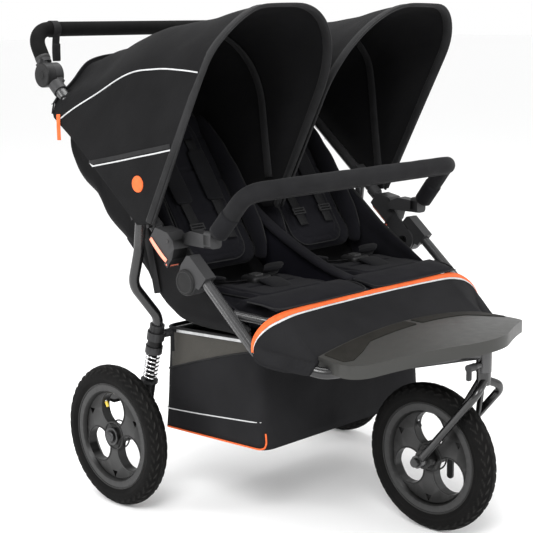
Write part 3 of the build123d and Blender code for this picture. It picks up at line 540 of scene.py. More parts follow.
def arch(drop_in=390.0, drop_out=390.0, fine=9.0):
    """(x, drop below the top line) round the hood's arch, from the inner side over to the outer side."""
    out = [(HOOD_IN, h) for h in np.arange(drop_in, R_IN, -fine)]
    out += [
        (
            HOOD_IN + R_IN * (1 - math.cos(a)), R_IN * (1 - math.sin(a))
        ) for a in np.linspace(0, math.pi / 2, 22)
    ]
    out += [(x, 0.0) for x in np.linspace(HOOD_IN + R_IN, HOOD_OUT - R_OUT, 9)[1:-1]]
    out += [
        (
            HOOD_OUT - R_OUT * (1 - math.sin(a)), R_OUT * (1 - math.cos(a))
        ) for a in np.linspace(0, math.pi / 2, 16)
    ]
    out += [(HOOD_OUT, h) for h in np.arange(R_OUT + fine, drop_out + 0.1, fine)]
    return np.array(out)


def hem_y(drop):
    return drop / 1.7757 - 150.0


def rear_y(drop):
    return np.minimum(HOOD_REAR, (495.9 - drop) / 0.93)


def settle_cloth(points):
    """The cloth's own set: rounder at the outer shoulder, and slumping towards the rear."""
    out = np.array(points, float)
    x, y = out[..., 0], out[..., 1]
    drop = hood_top(y) - out[..., 2]
    rear = np.clip((y - 60.0) / 330.0, 0, 1)
    rear = rear * rear * (3 - 2 * rear)
    shoulder = (9.0 + 27.0 * rear) * np.exp(-(((x - 332.0) / 72.0) ** 2) - ((drop - 26.0) / 72.0) ** 2)
    slump = 26.0 * rear * np.exp(-np.clip(drop, 0, None) / 120.0) * (0.35 + 0.65 * np.clip(x / 357.0, 0, 1))
    lumps = 1.0 + 0.22 * np.sin(y / 19.0 + 0.6) * rear
    out[..., 0] -= 0.72 * shoulder
    out[..., 2] -= 0.72 * shoulder + slump * lumps
    return out


def hood_point(x, y, drop):
    return settle_cloth(np.stack([x, y, hood_top(y) - drop], axis=-1))


def inward(points, amount):
    """Moves hood points towards the middle of the hood by amount."""
    out = points.copy()
    aim = np.stack([HOOD_MIDDLE_X - points[..., 0], np.zeros(points.shape[:-1]),
                    (hood_top(points[..., 1]) - HOOD_CENTRE_DROP) - points[..., 2]], axis=-1)
    aim /= np.maximum(np.linalg.norm(aim, axis=-1)[..., None], 1e-6)
    return out + aim * np.asarray(amount)[..., None]


def hood_outward(path):
    """The direction out of the hood at each point of a path on it."""
    rise = path[:, 2] - hood_top(path[:, 1]) + HOOD_CENTRE_DROP
    return np.stack([path[:, 0] - HOOD_MIDDLE_X, np.zeros(len(path)), rise], axis=1)


def hood_grid(rows=44, t_low=0.0, t_high=1.0, lift=0.0):
    section = arch()
    y0, y1 = hem_y(section[:, 1]), rear_y(section[:, 1])
    t = np.linspace(t_low, t_high, rows)[:, None]
    y = y0[None] * (1 - t) + y1[None] * t
    grid = hood_point(
        np.broadcast_to(section[None, :, 0], y.shape), y, np.broadcast_to(section[None, :, 1], y.shape)
    )
    flat = grid.reshape(-1, 3)
    angle = np.arctan2(flat[:, 2] - HOOD_PIVOT[1], flat[:, 1] - HOOD_PIVOT[0])
    # The cloth is tight over the bows and slack between them.
    hem_angle, mid_angle = math.radians(117.5), math.radians(84.0)
    front = np.clip((angle - mid_angle) / (hem_angle - mid_angle), 0, 1)
    back = np.clip((mid_angle - angle) / math.radians(62), 0, 1)
    sag = 5.0 * np.sin(front * math.pi) ** 2 + 6.5 * np.sin(back * math.pi) ** 2
    radial = np.linalg.norm(flat[:, 1:] - np.array(HOOD_PIVOT), axis=1)
    sag *= np.clip(radial / 260.0, 0, 1)
    ripple = 1.6 * value_noise(flat, 34.0, 1) + 1.0 * value_noise(flat * (1, 0.5, 1), 15.0, 2)
    ripple *= np.clip(np.sin(front * math.pi) + np.sin(back * math.pi), 0, 1) * 0.8 + 0.2
    edge = np.minimum(np.broadcast_to(t, y.shape).ravel(), 1 - np.broadcast_to(t, y.shape).ravel())
    ripple *= np.clip(edge / 0.05, 0, 1)
    moved = inward(flat, np.maximum(sag + ripple, 0.0) - lift)
    moved = push_out(moved, UPPER_LINE, 14.5)
    return moved.reshape(grid.shape)


def hood_sheet(name):
    return grid_sheet(name, hood_grid(), M["hood"], thick=1.6, offset=-1.0)


def hood_back(name):
    """The rear wall: from the arch's rear edge down to the seat tub."""
    xs = np.linspace(HOOD_IN + 2, HOOD_OUT - 1.5, 30)
    rows = []
    for x in xs:
        if x < HOOD_IN + R_IN:
            drop = R_IN - math.sqrt(max(R_IN**2 - (HOOD_IN + R_IN - x) ** 2, 0))
        elif x > HOOD_OUT - R_OUT:
            drop = R_OUT - math.sqrt(max(R_OUT**2 - (x - HOOD_OUT + R_OUT) ** 2, 0))
        else:
            drop = 0.0
        top = hood_top(HOOD_REAR) - drop - 1.0
        low = 836.0
        z = np.linspace(top, low, 16)
        s = (top - z) / max(top - low, 1.0)
        bulge = 5.0 * np.sin(s * math.pi) * math.sin(math.pi * (x - HOOD_IN) / (HOOD_OUT - HOOD_IN))
        wall = np.stack([np.full(16, x), HOOD_REAR - 1.0 - bulge, z], axis=1)
        rows.append(wall + (settle_cloth(wall) - wall) * (1 - s[:, None]) ** 0.5)
    grid = np.array(rows)
    grid = push_out(grid.reshape(-1, 3), UPPER_LINE, 15.0).reshape(grid.shape)
    return grid_sheet(name, grid, M["hood"], thick=1.4, offset=0.0)


def arch_path(y_of_drop, lift=0.0, trim=(390.0, 390.0)):
    section = arch(*trim)
    y = y_of_drop(section[:, 1])
    return inward(hood_point(section[:, 0], y, section[:, 1]), np.full(len(section), -lift))


def hood_hem(name):
    """The bound front edge, a flat channel with the bow inside it."""
    path = arch_path(lambda h: hem_y(h) + 9.0, lift=-2.4)
    normal = hood_outward(path)
    return sweep(name, path, band(6.0, 20.0, 0.45), normal, M["binding"])


def hood_hem_roll(name):
    path = arch_path(lambda h: hem_y(h) - 1.0, lift=-1.6)
    return sweep(name, path, ring(2.4, 8), (1.0, 0.3, 0.2), M["binding"])


def bow_angle_y(angle):
    lift = math.radians(angle)
    slope = math.cos(lift) / math.sin(lift)

    def y_of(drop):
        # Where the top line less the drop meets the bow's plane.
        return (HOOD_PIVOT[0] + slope * (hood_top(0.0) - drop - HOOD_PIVOT[1])) / (1 + HOOD_SLOPE * slope)

    return y_of


def mid_channel(name):
    path = arch_path(bow_angle_y(84.0), lift=-6.9, trim=(330.0, 380.0))
    normal = hood_outward(path)
    return sweep(name, path, band(3.6, 21.0, 0.45), normal, M["binding"])


def side_line(pairs, step=7.0):
    """A line beside the hood's outer side through (y, z) pairs."""
    return smooth_path([(HOOD_OUT, y, z) for y, z in pairs], step)


def lay_on(obj, path, aim, lift):
    """Drops path points onto a piece's surface along aim, and lifts them off it a little."""
    depsgraph = bpy.context.evaluated_depsgraph_get()
    tree = BVHTree.FromObject(obj, depsgraph)
    aim = Vector(aim).normalized()
    out = []
    for p in path:
        start = Vector(p) * MM - aim * 0.05
        hit = tree.ray_cast(start, aim)
        if hit[0] is None:
            hit = tree.find_nearest(Vector(p) * MM)
        spot, normal = hit[0], hit[1]
        if normal.dot(aim) > 0:
            normal = -normal
        out.append((spot + normal * lift * MM) / MM)
    return np.array([list(v) for v in out])


UPPER_PIPING = [(378, 798), (300, 838), (148, 900), (57, 914), (-20, 914), (-71, 911)]
LOWER_PIPING = [(268, 712), (140, 737), (10, 763)]
HOODS = {}
hood_left = hood_sheet("hood_cloth_left")
bpy.context.view_layer.update()
upper_path = lay_on(hood_left, side_line(UPPER_PIPING), (-1, 0, 0), 0.5)
lower_path = lay_on(hood_left, side_line(LOWER_PIPING), (-1, 0, 0), 0.5)
fold_path = lay_on(hood_left, side_line([(y, z + 8) for y, z in LOWER_PIPING]), (-1, 0, 0), 0.6)
badge_centre = lay_on(hood_left, [(HOOD_OUT, 110.0, 690.0)], (-1, 0, 0), 0.4)[0]
seam_back = arch_path(lambda h: np.minimum(rear_y(h), HOOD_REAR) - 1.0, lift=0.4, trim=(131.0, 131.0))
hood_right = mirrored(hood_left, "hood_cloth_right")
for obj, (side, sign) in ((hood_left, SIDES[0]), (hood_right, SIDES[1])):
    hem_middle = Vector((sign * 181.0, -40.0, 823.5)) * MM
    fold_dir = Vector((0, -0.887, -0.461))
    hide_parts(f"hood_{side}")
    HOODS[side] = (obj, hem_middle, fold_dir)


def hood_blend(obj):
    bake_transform(obj)


def badge(name):
    """A plain raised disc with a rolled edge."""
    radii = [
        (0.0, 1.9), (6.0, 1.9), (11.0, 1.7), (13.4, 1.5), (14.2, 2.3), (15.6, 2.3), (16.4, 1.2),
        (16.6, 0.0)
    ]
    count = 40
    rows = []
    for r, h in radii:
        a = np.arange(count) / count * 2 * math.pi
        rows.append(np.stack([np.full(count, h), r * np.cos(a), r * np.sin(a)], axis=1))
    grid = np.array(rows) + badge_centre
    obj = finish_mesh(name, grid.reshape(-1, 3), grid_faces(len(radii), count, True), M["orange"],
                      grid_uv(grid))
    fix_normals(obj)
    return obj


def on_hood(make, stem):
    left = make(f"{stem}_left")
    right = mirrored(left, f"{stem}_right")
    return left, right


hood_extras = []
hood_extras += on_hood(
    lambda n: sweep(n, upper_path, ring(1.5, 8), (1, 0, 0), M["piping"]), "hood_upper_piping",
)
hood_extras += on_hood(
    lambda n: sweep(n, lower_path, ring(1.6, 8), (1, 0, 0), M["piping"]), "hood_lower_piping",
)
hood_extras += on_hood(
    lambda n: sweep(n, fold_path, band(1.6, 9.0), (1, 0, 0), M["binding"]), "hood_fold_tape",
)
hood_extras += on_hood(badge, "hood_badge")
back_left, back_right = on_hood(hood_back, "hood_back_cloth")
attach(back_left, "rear_frame")
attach(back_right, "rear_frame")
both(lambda n: sweep(n, seam_back, ring(1.8, 8), (0.2, 1, 0.2), M["binding"]), "hood_back_seam", "rear_frame",
     slot="hood_fabric")
for side, sign in SIDES:
    hood_blend(HOODS[side][0])
for obj in hood_extras:
    hood_blend(obj)
hem_pair = both(hood_hem, "hood_hem", "front_bow_SIDE", slot="hood_fabric")
both(hood_hem_roll, "hood_hem_roll", "front_bow_SIDE", slot="hood_fabric")
channel_pair = both(mid_channel, "hood_bow_channel", "mid_bow_SIDE", slot="hood_fabric")
for pair, stem in ((hem_pair, "hood_front_bow"), (channel_pair, "hood_mid_bow")):
    for obj, (side, sign) in zip(pair, SIDES):
        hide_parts(f"{stem}_{side}")

# ---------------------------------------------------------------- seat tub

BELLY = smooth_path(
    [
        (0, y, z) for y,
        z in [
            (-146, 410), (-93, 404), (44, 405), (105, 427), (150, 463), (196, 524), (262, 582),
            (308, 636), (366, 681), (404, 722), (408, 780), (404, 826),
        ]
    ],
    9.0
)[:, 1:]
RIM = [(-146, 428), (-120, 440), (-60, 478), (45, 545), (404, 833)]


def tub_grid():
    count = len(BELLY)
    rim_path = resample(np.array([(0, y, z) for y, z in RIM], float), 2.0)[:, 1:]
    along = np.concatenate([[0], np.cumsum(np.linalg.norm(np.diff(BELLY, axis=0), axis=1))])
    s = along / along[-1]
    rim_at = np.interp(
        s, [0, 0.13, 0.34, 0.62, 0.86, 1.0], [0, 0.10, 0.26, 0.62, 0.93, 1.0]
    ) * (len(rim_path) - 1)
    rim = np.stack([np.interp(rim_at, np.arange(len(rim_path)), rim_path[:, k]) for k in (0, 1)], axis=1)
    half = 305.0
    rows = []
    slope = tangents(np.column_stack([np.zeros(count), BELLY]))[:, 1:]
    for i in range(count):
        share = float(np.clip((s[i] - 0.52) / 0.40, 0, 1))
        lump = (17.0 + 4.0 * math.sin(s[i] * 41.0)) * math.sin(share * math.pi) ** 0.8
        low, high = BELLY[i] + np.array([slope[i][1], -slope[i][0]]) * lump, rim[i]
        height = max(np.linalg.norm(high - low), 1.0)
        radius = min(42.0, height * 0.7)
        profile = [(half, h) for h in np.linspace(height, radius, 9)]
        profile += [(half - radius * (1 - math.cos(a)), radius * (1 - math.sin(a)))
                    for a in np.linspace(0, math.pi / 2, 8)[1:]]
        profile += [(x, 0.0) for x in np.linspace(half - radius, 0, 14)[1:]]
        right = [(-x, h) for x, h in profile[-2::-1]]
        pts = []
        for x, h in profile + right:
            spot = low + (high - low) * (h / height)
            slack = 4.5 * math.sin(math.pi * min(h / height, 1.0)) * (1 if abs(x) > half - 1 else 0)
            middle = 1.0 - abs(abs(x) - 150.0) / 150.0
            sag = 5.0 * max(middle, 0.0) if h < 1 else 0.0
            pts.append((x - math.copysign(slack, x), spot[0], spot[1] + sag))
        rows.append(pts)
    grid = np.array(rows)
    flat = grid.reshape(-1, 3)
    ripple = 1.4 * value_noise(flat, 30.0, 3) + 0.8 * value_noise(flat, 13.0, 4)
    flat[:, 0] -= np.sign(flat[:, 0]) * np.abs(ripple)
    return flat.reshape(grid.shape)


tub = grid_sheet("seat_tub_cloth", tub_grid(), M["hood"], thick=1.8, offset=0.0)
fix_normals(tub)
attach(tub, "rear_frame")
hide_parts("seat_sling")


def tub_rim(name):
    path = resample(np.array([(304.0, y, z) for y, z in RIM], float), 9.0)
    path[:, 0] += 0.6 * value_noise(path, 25.0, 5)
    return sweep(name, path, ring(3.2, 8), (1, 0, 0), M["binding"])


both(tub_rim, "tub_rim_binding", "rear_frame", slot="hood_fabric")


def side_strap(name):
    """A flat strap that ties the tub's side up to the frame tube."""
    path = smooth_path([(307, 118, 462), (308, 132, 525), (310, 148, 590), (316, 160, 640)], 9.0)
    return sweep(name, path, band(1.6, 20.0), (1, 0, 0), M["webbing"])


both(side_strap, "tub_side_strap", "rear_frame", slot="webbing")

# ---------------------------------------------------------------- seats

BACK_ANGLE = math.radians(56.0)
BACK_HINGE = (88.0, 470.0)
SEAT_MID = 152.0


def pad_matrix(kind):
    """Local frames: x across the seat, y along the pad, z out of its face."""
    if kind == "base":
        return np.eye(3), np.array([SEAT_MID, -42.0, 442.0])
    c, s = math.cos(BACK_ANGLE), math.sin(BACK_ANGLE)
    return np.array([(1, 0, 0), (0, c, s), (0, -s, c)]).T, np.array([SEAT_MID, *BACK_HINGE])


def place(points, kind):
    turn, origin = pad_matrix(kind)
    return np.asarray(points, float) @ turn.T + origin


def block(name, width, length, thick, corner, kind, centre, taper=0.0, material=None):
    """A rounded slab ready to be swelled."""
    outline = []
    steps = 12
    for quadrant, (sx, sy) in enumerate(((1, 1), (-1, 1), (-1, -1), (1, -1))):
        for k in range(steps + 1):
            a = math.pi / 2 * (quadrant + k / steps)
            cx, cy = (width / 2 - corner) * sx, (length / 2 - corner) * sy
            outline.append((cx + corner * math.cos(a), cy + corner * math.sin(a)))
    outline = np.array(outline)
    rings = []
    for z, inset in ((-0.5, 7.0), (-0.38, 2.0), (0.0, 0.0), (0.38, 2.0), (0.5, 7.0)):
        scale = 1 - 2 * inset / np.array([width, length])
        pts = outline * scale
        height = thick * (1 - taper * (pts[:, 1] / length + 0.5))
        rings.append(np.column_stack([pts, z * height]))
    verts = np.vstack(rings)
    m = len(outline)
    faces = grid_faces(len(rings), m, True)
    faces += [tuple(reversed(range(m))), tuple(range(4 * m, 5 * m))]
    obj = finish_mesh(name, place(verts + np.array(centre), kind), faces, material or M["pad"])
    fix_normals(obj)
    return obj


def swell(obj, voxel=5.0, cap=9.0, pressure=4.0):
    """Swells a pad with Blender's cloth under pressure, and leaves a plain mesh."""
    bpy.context.view_layer.objects.active = obj
    for other in bpy.context.selected_objects:
        other.select_set(False)
    obj.select_set(True)
    remesh = obj.modifiers.new("remesh", "REMESH")
    remesh.mode = "VOXEL"
    remesh.voxel_size = voxel * MM
    bpy.ops.object.modifier_apply(modifier="remesh")
    rest = np.array([v.co for v in obj.data.vertices])
    cloth = obj.modifiers.new("cloth", "CLOTH")
    cloth.settings.quality = 4
    cloth.settings.mass = 0.25
    cloth.settings.tension_stiffness = 12
    cloth.settings.compression_stiffness = 12
    cloth.settings.bending_stiffness = 0.6
    cloth.settings.use_pressure = True
    cloth.settings.uniform_pressure_force = pressure
    cloth.settings.effector_weights.gravity = 0.0
    cloth.point_cache.frame_start, cloth.point_cache.frame_end = 1, 20
    for number in range(1, 21):
        bpy.context.scene.frame_set(number)
    depsgraph = bpy.context.evaluated_depsgraph_get()
    shown = obj.evaluated_get(depsgraph)
    swollen = np.array([v.co for v in shown.data.vertices])
    obj.modifiers.remove(cloth)
    bpy.context.scene.frame_set(1)
    if len(swollen) == len(rest):
        move = swollen - rest
        length = np.linalg.norm(move, axis=1)
        limit = cap * MM
        move *= (np.minimum(length, limit) / np.maximum(length, 1e-9))[:, None]
        obj.data.vertices.foreach_set("co", (rest + move).astype(np.float32).ravel())
    obj.data.shade_smooth()
    obj.data.update()
    return obj


def carve(obj, kind, lines, depth=4.0, width=4.5):
    """Sewn channels: sinks the pad's surface along lines given in the pad's own frame."""
    turn, origin = pad_matrix(kind)
    verts = np.array([v.co for v in obj.data.vertices]) / MM
    normals = np.array([v.normal for v in obj.data.vertices])
    local = (verts - origin) @ turn
    sink = np.zeros(len(verts))
    for line in lines:
        line = np.asarray(line, float)
        flat = np.column_stack([local[:, :2], np.zeros(len(local))])
        path = np.column_stack([line, np.zeros(len(line))])
        _, gap = nearest_on(flat, path)
        sink = np.maximum(sink, depth * np.exp(-((gap / width) ** 2)))
    facing = np.clip((normals @ turn)[:, 2], 0, 1)
    verts -= normals * (sink * facing)[:, None]
    obj.data.vertices.foreach_set("co", (verts * MM).astype(np.float32).ravel())
    obj.data.update()


def stitched(name, obj, kind, line, material, radius=0.7, lift=0.1, closed=False):
    """A raised thread or piping laid on a pad's face along a line in the pad's own frame."""
    turn, origin = pad_matrix(kind)
    path = place(np.column_stack([np.asarray(line, float), np.full(len(line), 60.0)]), kind)
    aim = -turn[:, 2]
    depsgraph = bpy.context.evaluated_depsgraph_get()
    tree = BVHTree.FromObject(obj, depsgraph)
    out = []
    for p in path:
        hit = tree.ray_cast(Vector(p) * MM, Vector(aim))
        if hit[0] is not None:
            out.append(np.array(hit[0]) / MM - aim * lift)
    return sweep(name, np.array(out), ring(radius, 6), turn[:, 2], material, closed=closed)


def oval(width, length, corner, centre=(0, 0), steps=7, gap=9.0):
    """A rounded rectangle as a closed line of points."""
    pts = []
    for quadrant, (sx, sy) in enumerate(((1, 1), (-1, 1), (-1, -1), (1, -1))):
        cx, cy = (width / 2 - corner) * sx, (length / 2 - corner) * sy
        for k in range(steps + 1):
            a = math.pi / 2 * (quadrant + k / steps)
            pts.append((centre[0] + cx + corner * math.cos(a), centre[1] + cy + corner * math.sin(a), 0.0))
    pts.append(pts[0])
    return resample(np.array(pts), gap)[:-1, :2]


def seat_pair(left, stem, body, replaces=None):
    """Finishes a left pad, mirrors it, and rides both."""
    right = mirrored(left, f"{stem}_right")
    for obj, (side, sign) in ((left, SIDES[0]), (right, SIDES[1])):
        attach(obj, body.replace("SIDE", side))
        if replaces:
            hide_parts(replaces.replace("SIDE", side))
    return left, right


# The base cushion, with the liner pad on top of it.
cushion = swell(block("seat_cushion_left", 262, 210, 44, 34, "base", (0, 0, -2)), 5.0, 7.0)
carve(cushion, "base", [oval(222, 172, 26)], depth=3.0)
soften(cushion)
seat_pair(cushion, "seat_cushion", "rear_frame", replaces="seat_cushions")

liner = swell(block("seat_liner_left", 214, 186, 13, 30, "base", (0, -10, 30)), 4.0, 5.0)
carve(
    liner, "base", [oval(176, 150, 22, (0, -10)), [(-60, -10), (60, -10)], [(-60, 32), (60, 32)]],
    depth=3.2, width=3.5
)
soften(liner)
seat_pair(liner, "seat_liner", "rear_frame")
piping = stitched(
    "seat_liner_piping_left", liner, "base", oval(203, 176, 27, (0, -10)), M["binding"], 1.5, 0.2, True
)
seat_pair(piping, "seat_liner_piping", "rear_frame")

# The back: a padded panel with a liner and a bolster up each side.
back = swell(block("seat_back_pad_left", 250, 400, 22, 40, "back", (0, 222, 0)), 5.0, 7.0)
carve(
    back, "back", [[(-100, 120), (100, 120)], [(-104, 226), (104, 226)], [(-100, 330), (100, 330)]],
    depth=4.0
)
soften(back)
seat_pair(back, "seat_back_pad", "seat_back_SIDE", replaces="seat_back_SIDE")

back_liner = swell(block("back_liner_left", 168, 352, 10, 44, "back", (0, 206, 19)), 4.0, 4.5)
carve(
    back_liner, "back", [oval(134, 316, 34, (0, 206)), [(-52, 150), (52, 150)], [(-54, 250), (54, 250)]],
    depth=3.0, width=3.5
)
soften(back_liner)
seat_pair(back_liner, "back_liner", "seat_back_SIDE")
piping = stitched(
    "back_liner_piping_left", back_liner, "back", oval(158, 342, 40, (0, 206)), M["binding"], 1.5, 0.2,
    True
)
seat_pair(piping, "back_liner_piping", "seat_back_SIDE")


def bolster(name, side_x, lean):
    """A padded wing that runs up one side of the seat back."""
    line = smooth_path(
        [
            (side_x, 26, 12), (side_x + lean, 70, 30), (side_x + lean, 190, 33), (side_x, 300, 27),
            (side_x - lean * 0.6, 380, 12)
        ],
        12.0
    )
    path = place(line, "back")
    s = np.linspace(0, 1, len(path))
    swell_by = 0.42 + 0.58 * np.sin(np.clip(s, 0.02, 0.98) * math.pi) ** 0.45
    swell_by = swell_by * (1 + 0.05 * np.sin(s * 34 + 1.0))
    a = np.arange(18) / 18 * 2 * math.pi
    section = np.stack([26 * np.cos(a), 13.5 * np.sin(a) * (1 - 0.25 * np.cos(a))], axis=1)
    out_dir = pad_matrix("back")[0][:, 2]
    return soften(sweep(name, path, section, out_dir, M["pad"], scale=swell_by))


for stem, side_x, lean in (("inner_bolster", -116, -3), ("outer_bolster", 116, 3)):
    wing = bolster(f"{stem}_left", side_x, lean)
    seat_pair(wing, stem, "seat_back_SIDE")
    out_dir = pad_matrix("back")[0][:, 2]
    edge = smooth_path([(side_x + lean, 48, 50), (side_x + lean, 110, 58), (side_x + lean, 200, 60),
                        (side_x, 300, 52), (side_x, 352, 34)], 10.0)
    roll = lay_on(wing, place(edge, "back"), -out_dir, 0.2)
    seat_pair(
        sweep(f"{stem}_piping_left", roll, ring(1.6, 8), (1, 0, 0), M["binding"]), f"{stem}_piping",
        "seat_back_SIDE"
    )


def harness_strap(name, x):
    """Shoulder webbing down the seat back."""
    path = place(
        smooth_path(
            [(x, 322, 24), (x, 316, 31), (x, 250, 32), (x * 0.96, 150, 34), (x * 0.9, 78, 36)], 9.0
        ),
        "back"
    )
    return sweep(name, path, band(1.6, 25.0), pad_matrix("back")[0][:, 2], M["webbing"])


def shoulder_pad(name, x):
    """A soft sleeve round the shoulder webbing."""
    path = place(smooth_path([(x, 292, 33), (x, 230, 34), (x * 0.97, 168, 35.5)], 7.0), "back")
    s = np.linspace(0, 1, len(path))
    scale = np.column_stack(
        [
            0.5 + 0.5 * np.sin(np.clip(s, 0.03, 0.97) * math.pi) ** 0.35 * (1 + 0.06 * np.cos(s * 25)),
            0.86 + 0.14 * np.sin(s * math.pi) ** 0.3
        ]
    )
    a = np.arange(16) / 16 * 2 * math.pi
    section = np.stack([5.5 * np.sin(a), 24 * np.sign(np.cos(a)) * np.abs(np.cos(a)) ** 0.6], axis=1)
    return soften(sweep(name, path, section, pad_matrix("back")[0][:, 2], M["pad_light"], scale=scale))


strap_in = harness_strap("shoulder_strap_inner_left", -45)
seat_pair(strap_in, "shoulder_strap_inner", "seat_back_SIDE", replaces="shoulder_straps_SIDE")
seat_pair(
    harness_strap("shoulder_strap_outer_left", 45), "shoulder_strap_outer", "seat_back_SIDE",
)
for stem, x in (("shoulder_pad_inner", -45), ("shoulder_pad_outer", 45)):
    seat_pair(shoulder_pad(f"{stem}_left", x), stem, "seat_back_SIDE")


def slider(name, centre, across, along, out, width=34.0, length=13.0):
    """A three-bar strap slider."""
    across, along, out = (np.asarray(v, float) / np.linalg.norm(v) for v in (across, along, out))
    verts, faces = [], []

    def bar(c, w, h, t):
        base = len(verts)
        for k in (-1, 1):
            for j in (-1, 1):
                for i in (-1, 1):
                    verts.append(
                        centre + across * (c[0] + i * w / 2) + along * (
                            c[1] + j * h / 2
                        ) + out * k * t / 2
                    )
        for f in ((0, 1, 3, 2), (4, 6, 7, 5), (0, 4, 5, 1), (2, 3, 7, 6), (0, 2, 6, 4), (1, 5, 7, 3)):
            faces.append(tuple(base + q for q in f))

    for y in (-length / 2, 0.0, length / 2):
        bar((0, y), width, 3.0, 3.4)
    for x in (-width / 2, width / 2):
        bar((x, 0), 3.2, length + 3.0, 3.4)
    obj = finish_mesh(name, verts, faces, M["plastic"], smooth=False)
    fix_normals(obj)
    mod = obj.modifiers.new("edges", "BEVEL")
    mod.width, mod.segments = 0.5 * MM, 2
    return obj


turn_back = pad_matrix("back")[0]
for stem, x in (("strap_slider_inner", -42), ("strap_slider_outer", 42)):
    spot = place([(x, 112, 38)], "back")[0]
    seat_pair(
        slider(f"{stem}_left", spot, turn_back[:, 0], turn_back[:, 1], turn_back[:, 2]), stem,
        "seat_back_SIDE"
    )


def lap_strap(name, sign):
    """The waist webbing from the side of the seat to the buckle."""
    x = SEAT_MID
    path = smooth_path([(x + sign * 118, 60, 486), (x + sign * 98, 34, 492), (x + sign * 60, 4, 487),
                        (x + sign * 30, -8, 487.5)], 6.0)
    return sweep(name, path, band(1.6, 24.0), (0, 0.25, 1), M["webbing"])


def lap_pad(name, sign):
    x = SEAT_MID
    path = smooth_path([(x + sign * 112, 54, 492), (x + sign * 94, 32, 496), (x + sign * 66, 10, 492.5)], 6.0)
    s = np.linspace(0, 1, len(path))
    scale = 0.55 + 0.45 * np.sin(np.clip(s, 0.04, 0.96) * math.pi) ** 0.4
    a = np.arange(16) / 16 * 2 * math.pi
    section = np.stack([5.5 * np.sin(a), 21 * np.sign(np.cos(a)) * np.abs(np.cos(a)) ** 0.6], axis=1)
    return soften(
        sweep(
            name, path, section, (0, 0.25, 1), M["pad_light"],
            scale=np.column_stack([scale, 0.7 + 0.3 * scale])
        )
    )


for stem, sign in (("lap_strap_inner", -1), ("lap_strap_outer", 1)):
    seat_pair(lap_strap(f"{stem}_left", sign), stem, "rear_frame")
for stem, sign in (("lap_pad_inner", -1), ("lap_pad_outer", 1)):
    seat_pair(lap_pad(f"{stem}_left", sign), stem, "rear_frame")


def buckle_shell(name):
    """The harness buckle: a rounded shield with a pocket for its button."""
    outline = oval(52, 46, 9, (0, 0), steps=6, gap=4.5)
    inner = oval(23.4, 23.4, 4.5, (0, 0), steps=5, gap=3.0)
    n = 64
    outer = resample(np.column_stack([np.vstack([outline, outline[:1]]), np.zeros(len(outline) + 1)]), 0.5)
    hole = resample(np.column_stack([np.vstack([inner, inner[:1]]), np.zeros(len(inner) + 1)]), 0.5)
    outer = outer[np.linspace(0, len(outer) - 1, n + 1).astype(int)[:-1], :2]
    hole = hole[np.linspace(0, len(hole) - 1, n + 1).astype(int)[:-1], :2]
    rings = [(hole, 5.0), (hole, 14.4), (hole * 1.06, 15.6), (outer * 0.86, 15.6), (outer * 0.96, 13.6),
             (outer, 10.5), (outer, 3.0), (outer * 0.96, 0.6)]
    grid = np.array([np.column_stack([r, np.full(n, z)]) for r, z in rings])
    grid += np.array([SEAT_MID, -10.0, 479.0])
    faces = grid_faces(len(rings), n, True)
    faces += [tuple(range(n)), tuple(reversed(range((len(rings) - 1) * n, len(rings) * n)))]
    obj = finish_mesh(name, grid.reshape(-1, 3), faces, M["plastic"])
    fix_normals(obj)
    return obj


seat_pair(buckle_shell("harness_buckle_left"), "harness_buckle", "rear_frame",
                       replaces="crotch_buckles")


def crotch_web(name):
    path = smooth_path(
        [(SEAT_MID, -74, 474), (SEAT_MID, -66, 482), (SEAT_MID, -48, 486), (SEAT_MID, -31, 486)], 5.0
    )
    return sweep(name, path, band(1.8, 30.0), (0, -0.2, 1), M["webbing"])


def crotch_pad(name):
    path = smooth_path(
        [(SEAT_MID, -96, 479), (SEAT_MID, -78, 484.5), (SEAT_MID, -56, 489), (SEAT_MID, -40, 491)], 5.0
    )
    s = np.linspace(0, 1, len(path))
    scale = 0.6 + 0.4 * np.sin(np.clip(s, 0.04, 0.96) * math.pi) ** 0.4
    a = np.arange(18) / 18 * 2 * math.pi
    section = np.stack([5.0 * np.sin(a), 27 * np.sign(np.cos(a)) * np.abs(np.cos(a)) ** 0.6], axis=1)
    return soften(
        sweep(
            name, path, section, (0, -0.2, 1), M["pad_light"],
            scale=np.column_stack([scale, 0.75 + 0.25 * scale])
        )
    )


seat_pair(crotch_web("crotch_webbing_left"), "crotch_webbing", "rear_frame")
seat_pair(crotch_pad("crotch_pad_left"), "crotch_pad", "rear_frame")


def divider():
    """The padded strip between the two seats."""
    path = smooth_path(
        [(0, 196, 640), (0, 150, 600), (0, 90, 562), (0, 10, 524), (0, -70, 494), (0, -132, 480)], 9.0
    )
    s = np.linspace(0, 1, len(path))
    scale = np.column_stack(
        [
            0.6 + 0.4 * np.sin(np.clip(s, 0.02, 0.98) * math.pi) ** 0.3 * (1 + 0.04 * np.cos(s * 50)),
            0.8 + 0.2 * s
        ]
    )
    a = np.arange(18) / 18 * 2 * math.pi
    section = np.stack([6.0 * np.sin(a), 17.0 * np.sign(np.cos(a)) * np.abs(np.cos(a)) ** 0.55], axis=1)
    return soften(sweep("seat_divider", path, section, (0, -0.5, 1), M["pad"], scale=scale))


div = divider()
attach(div, "rear_frame")


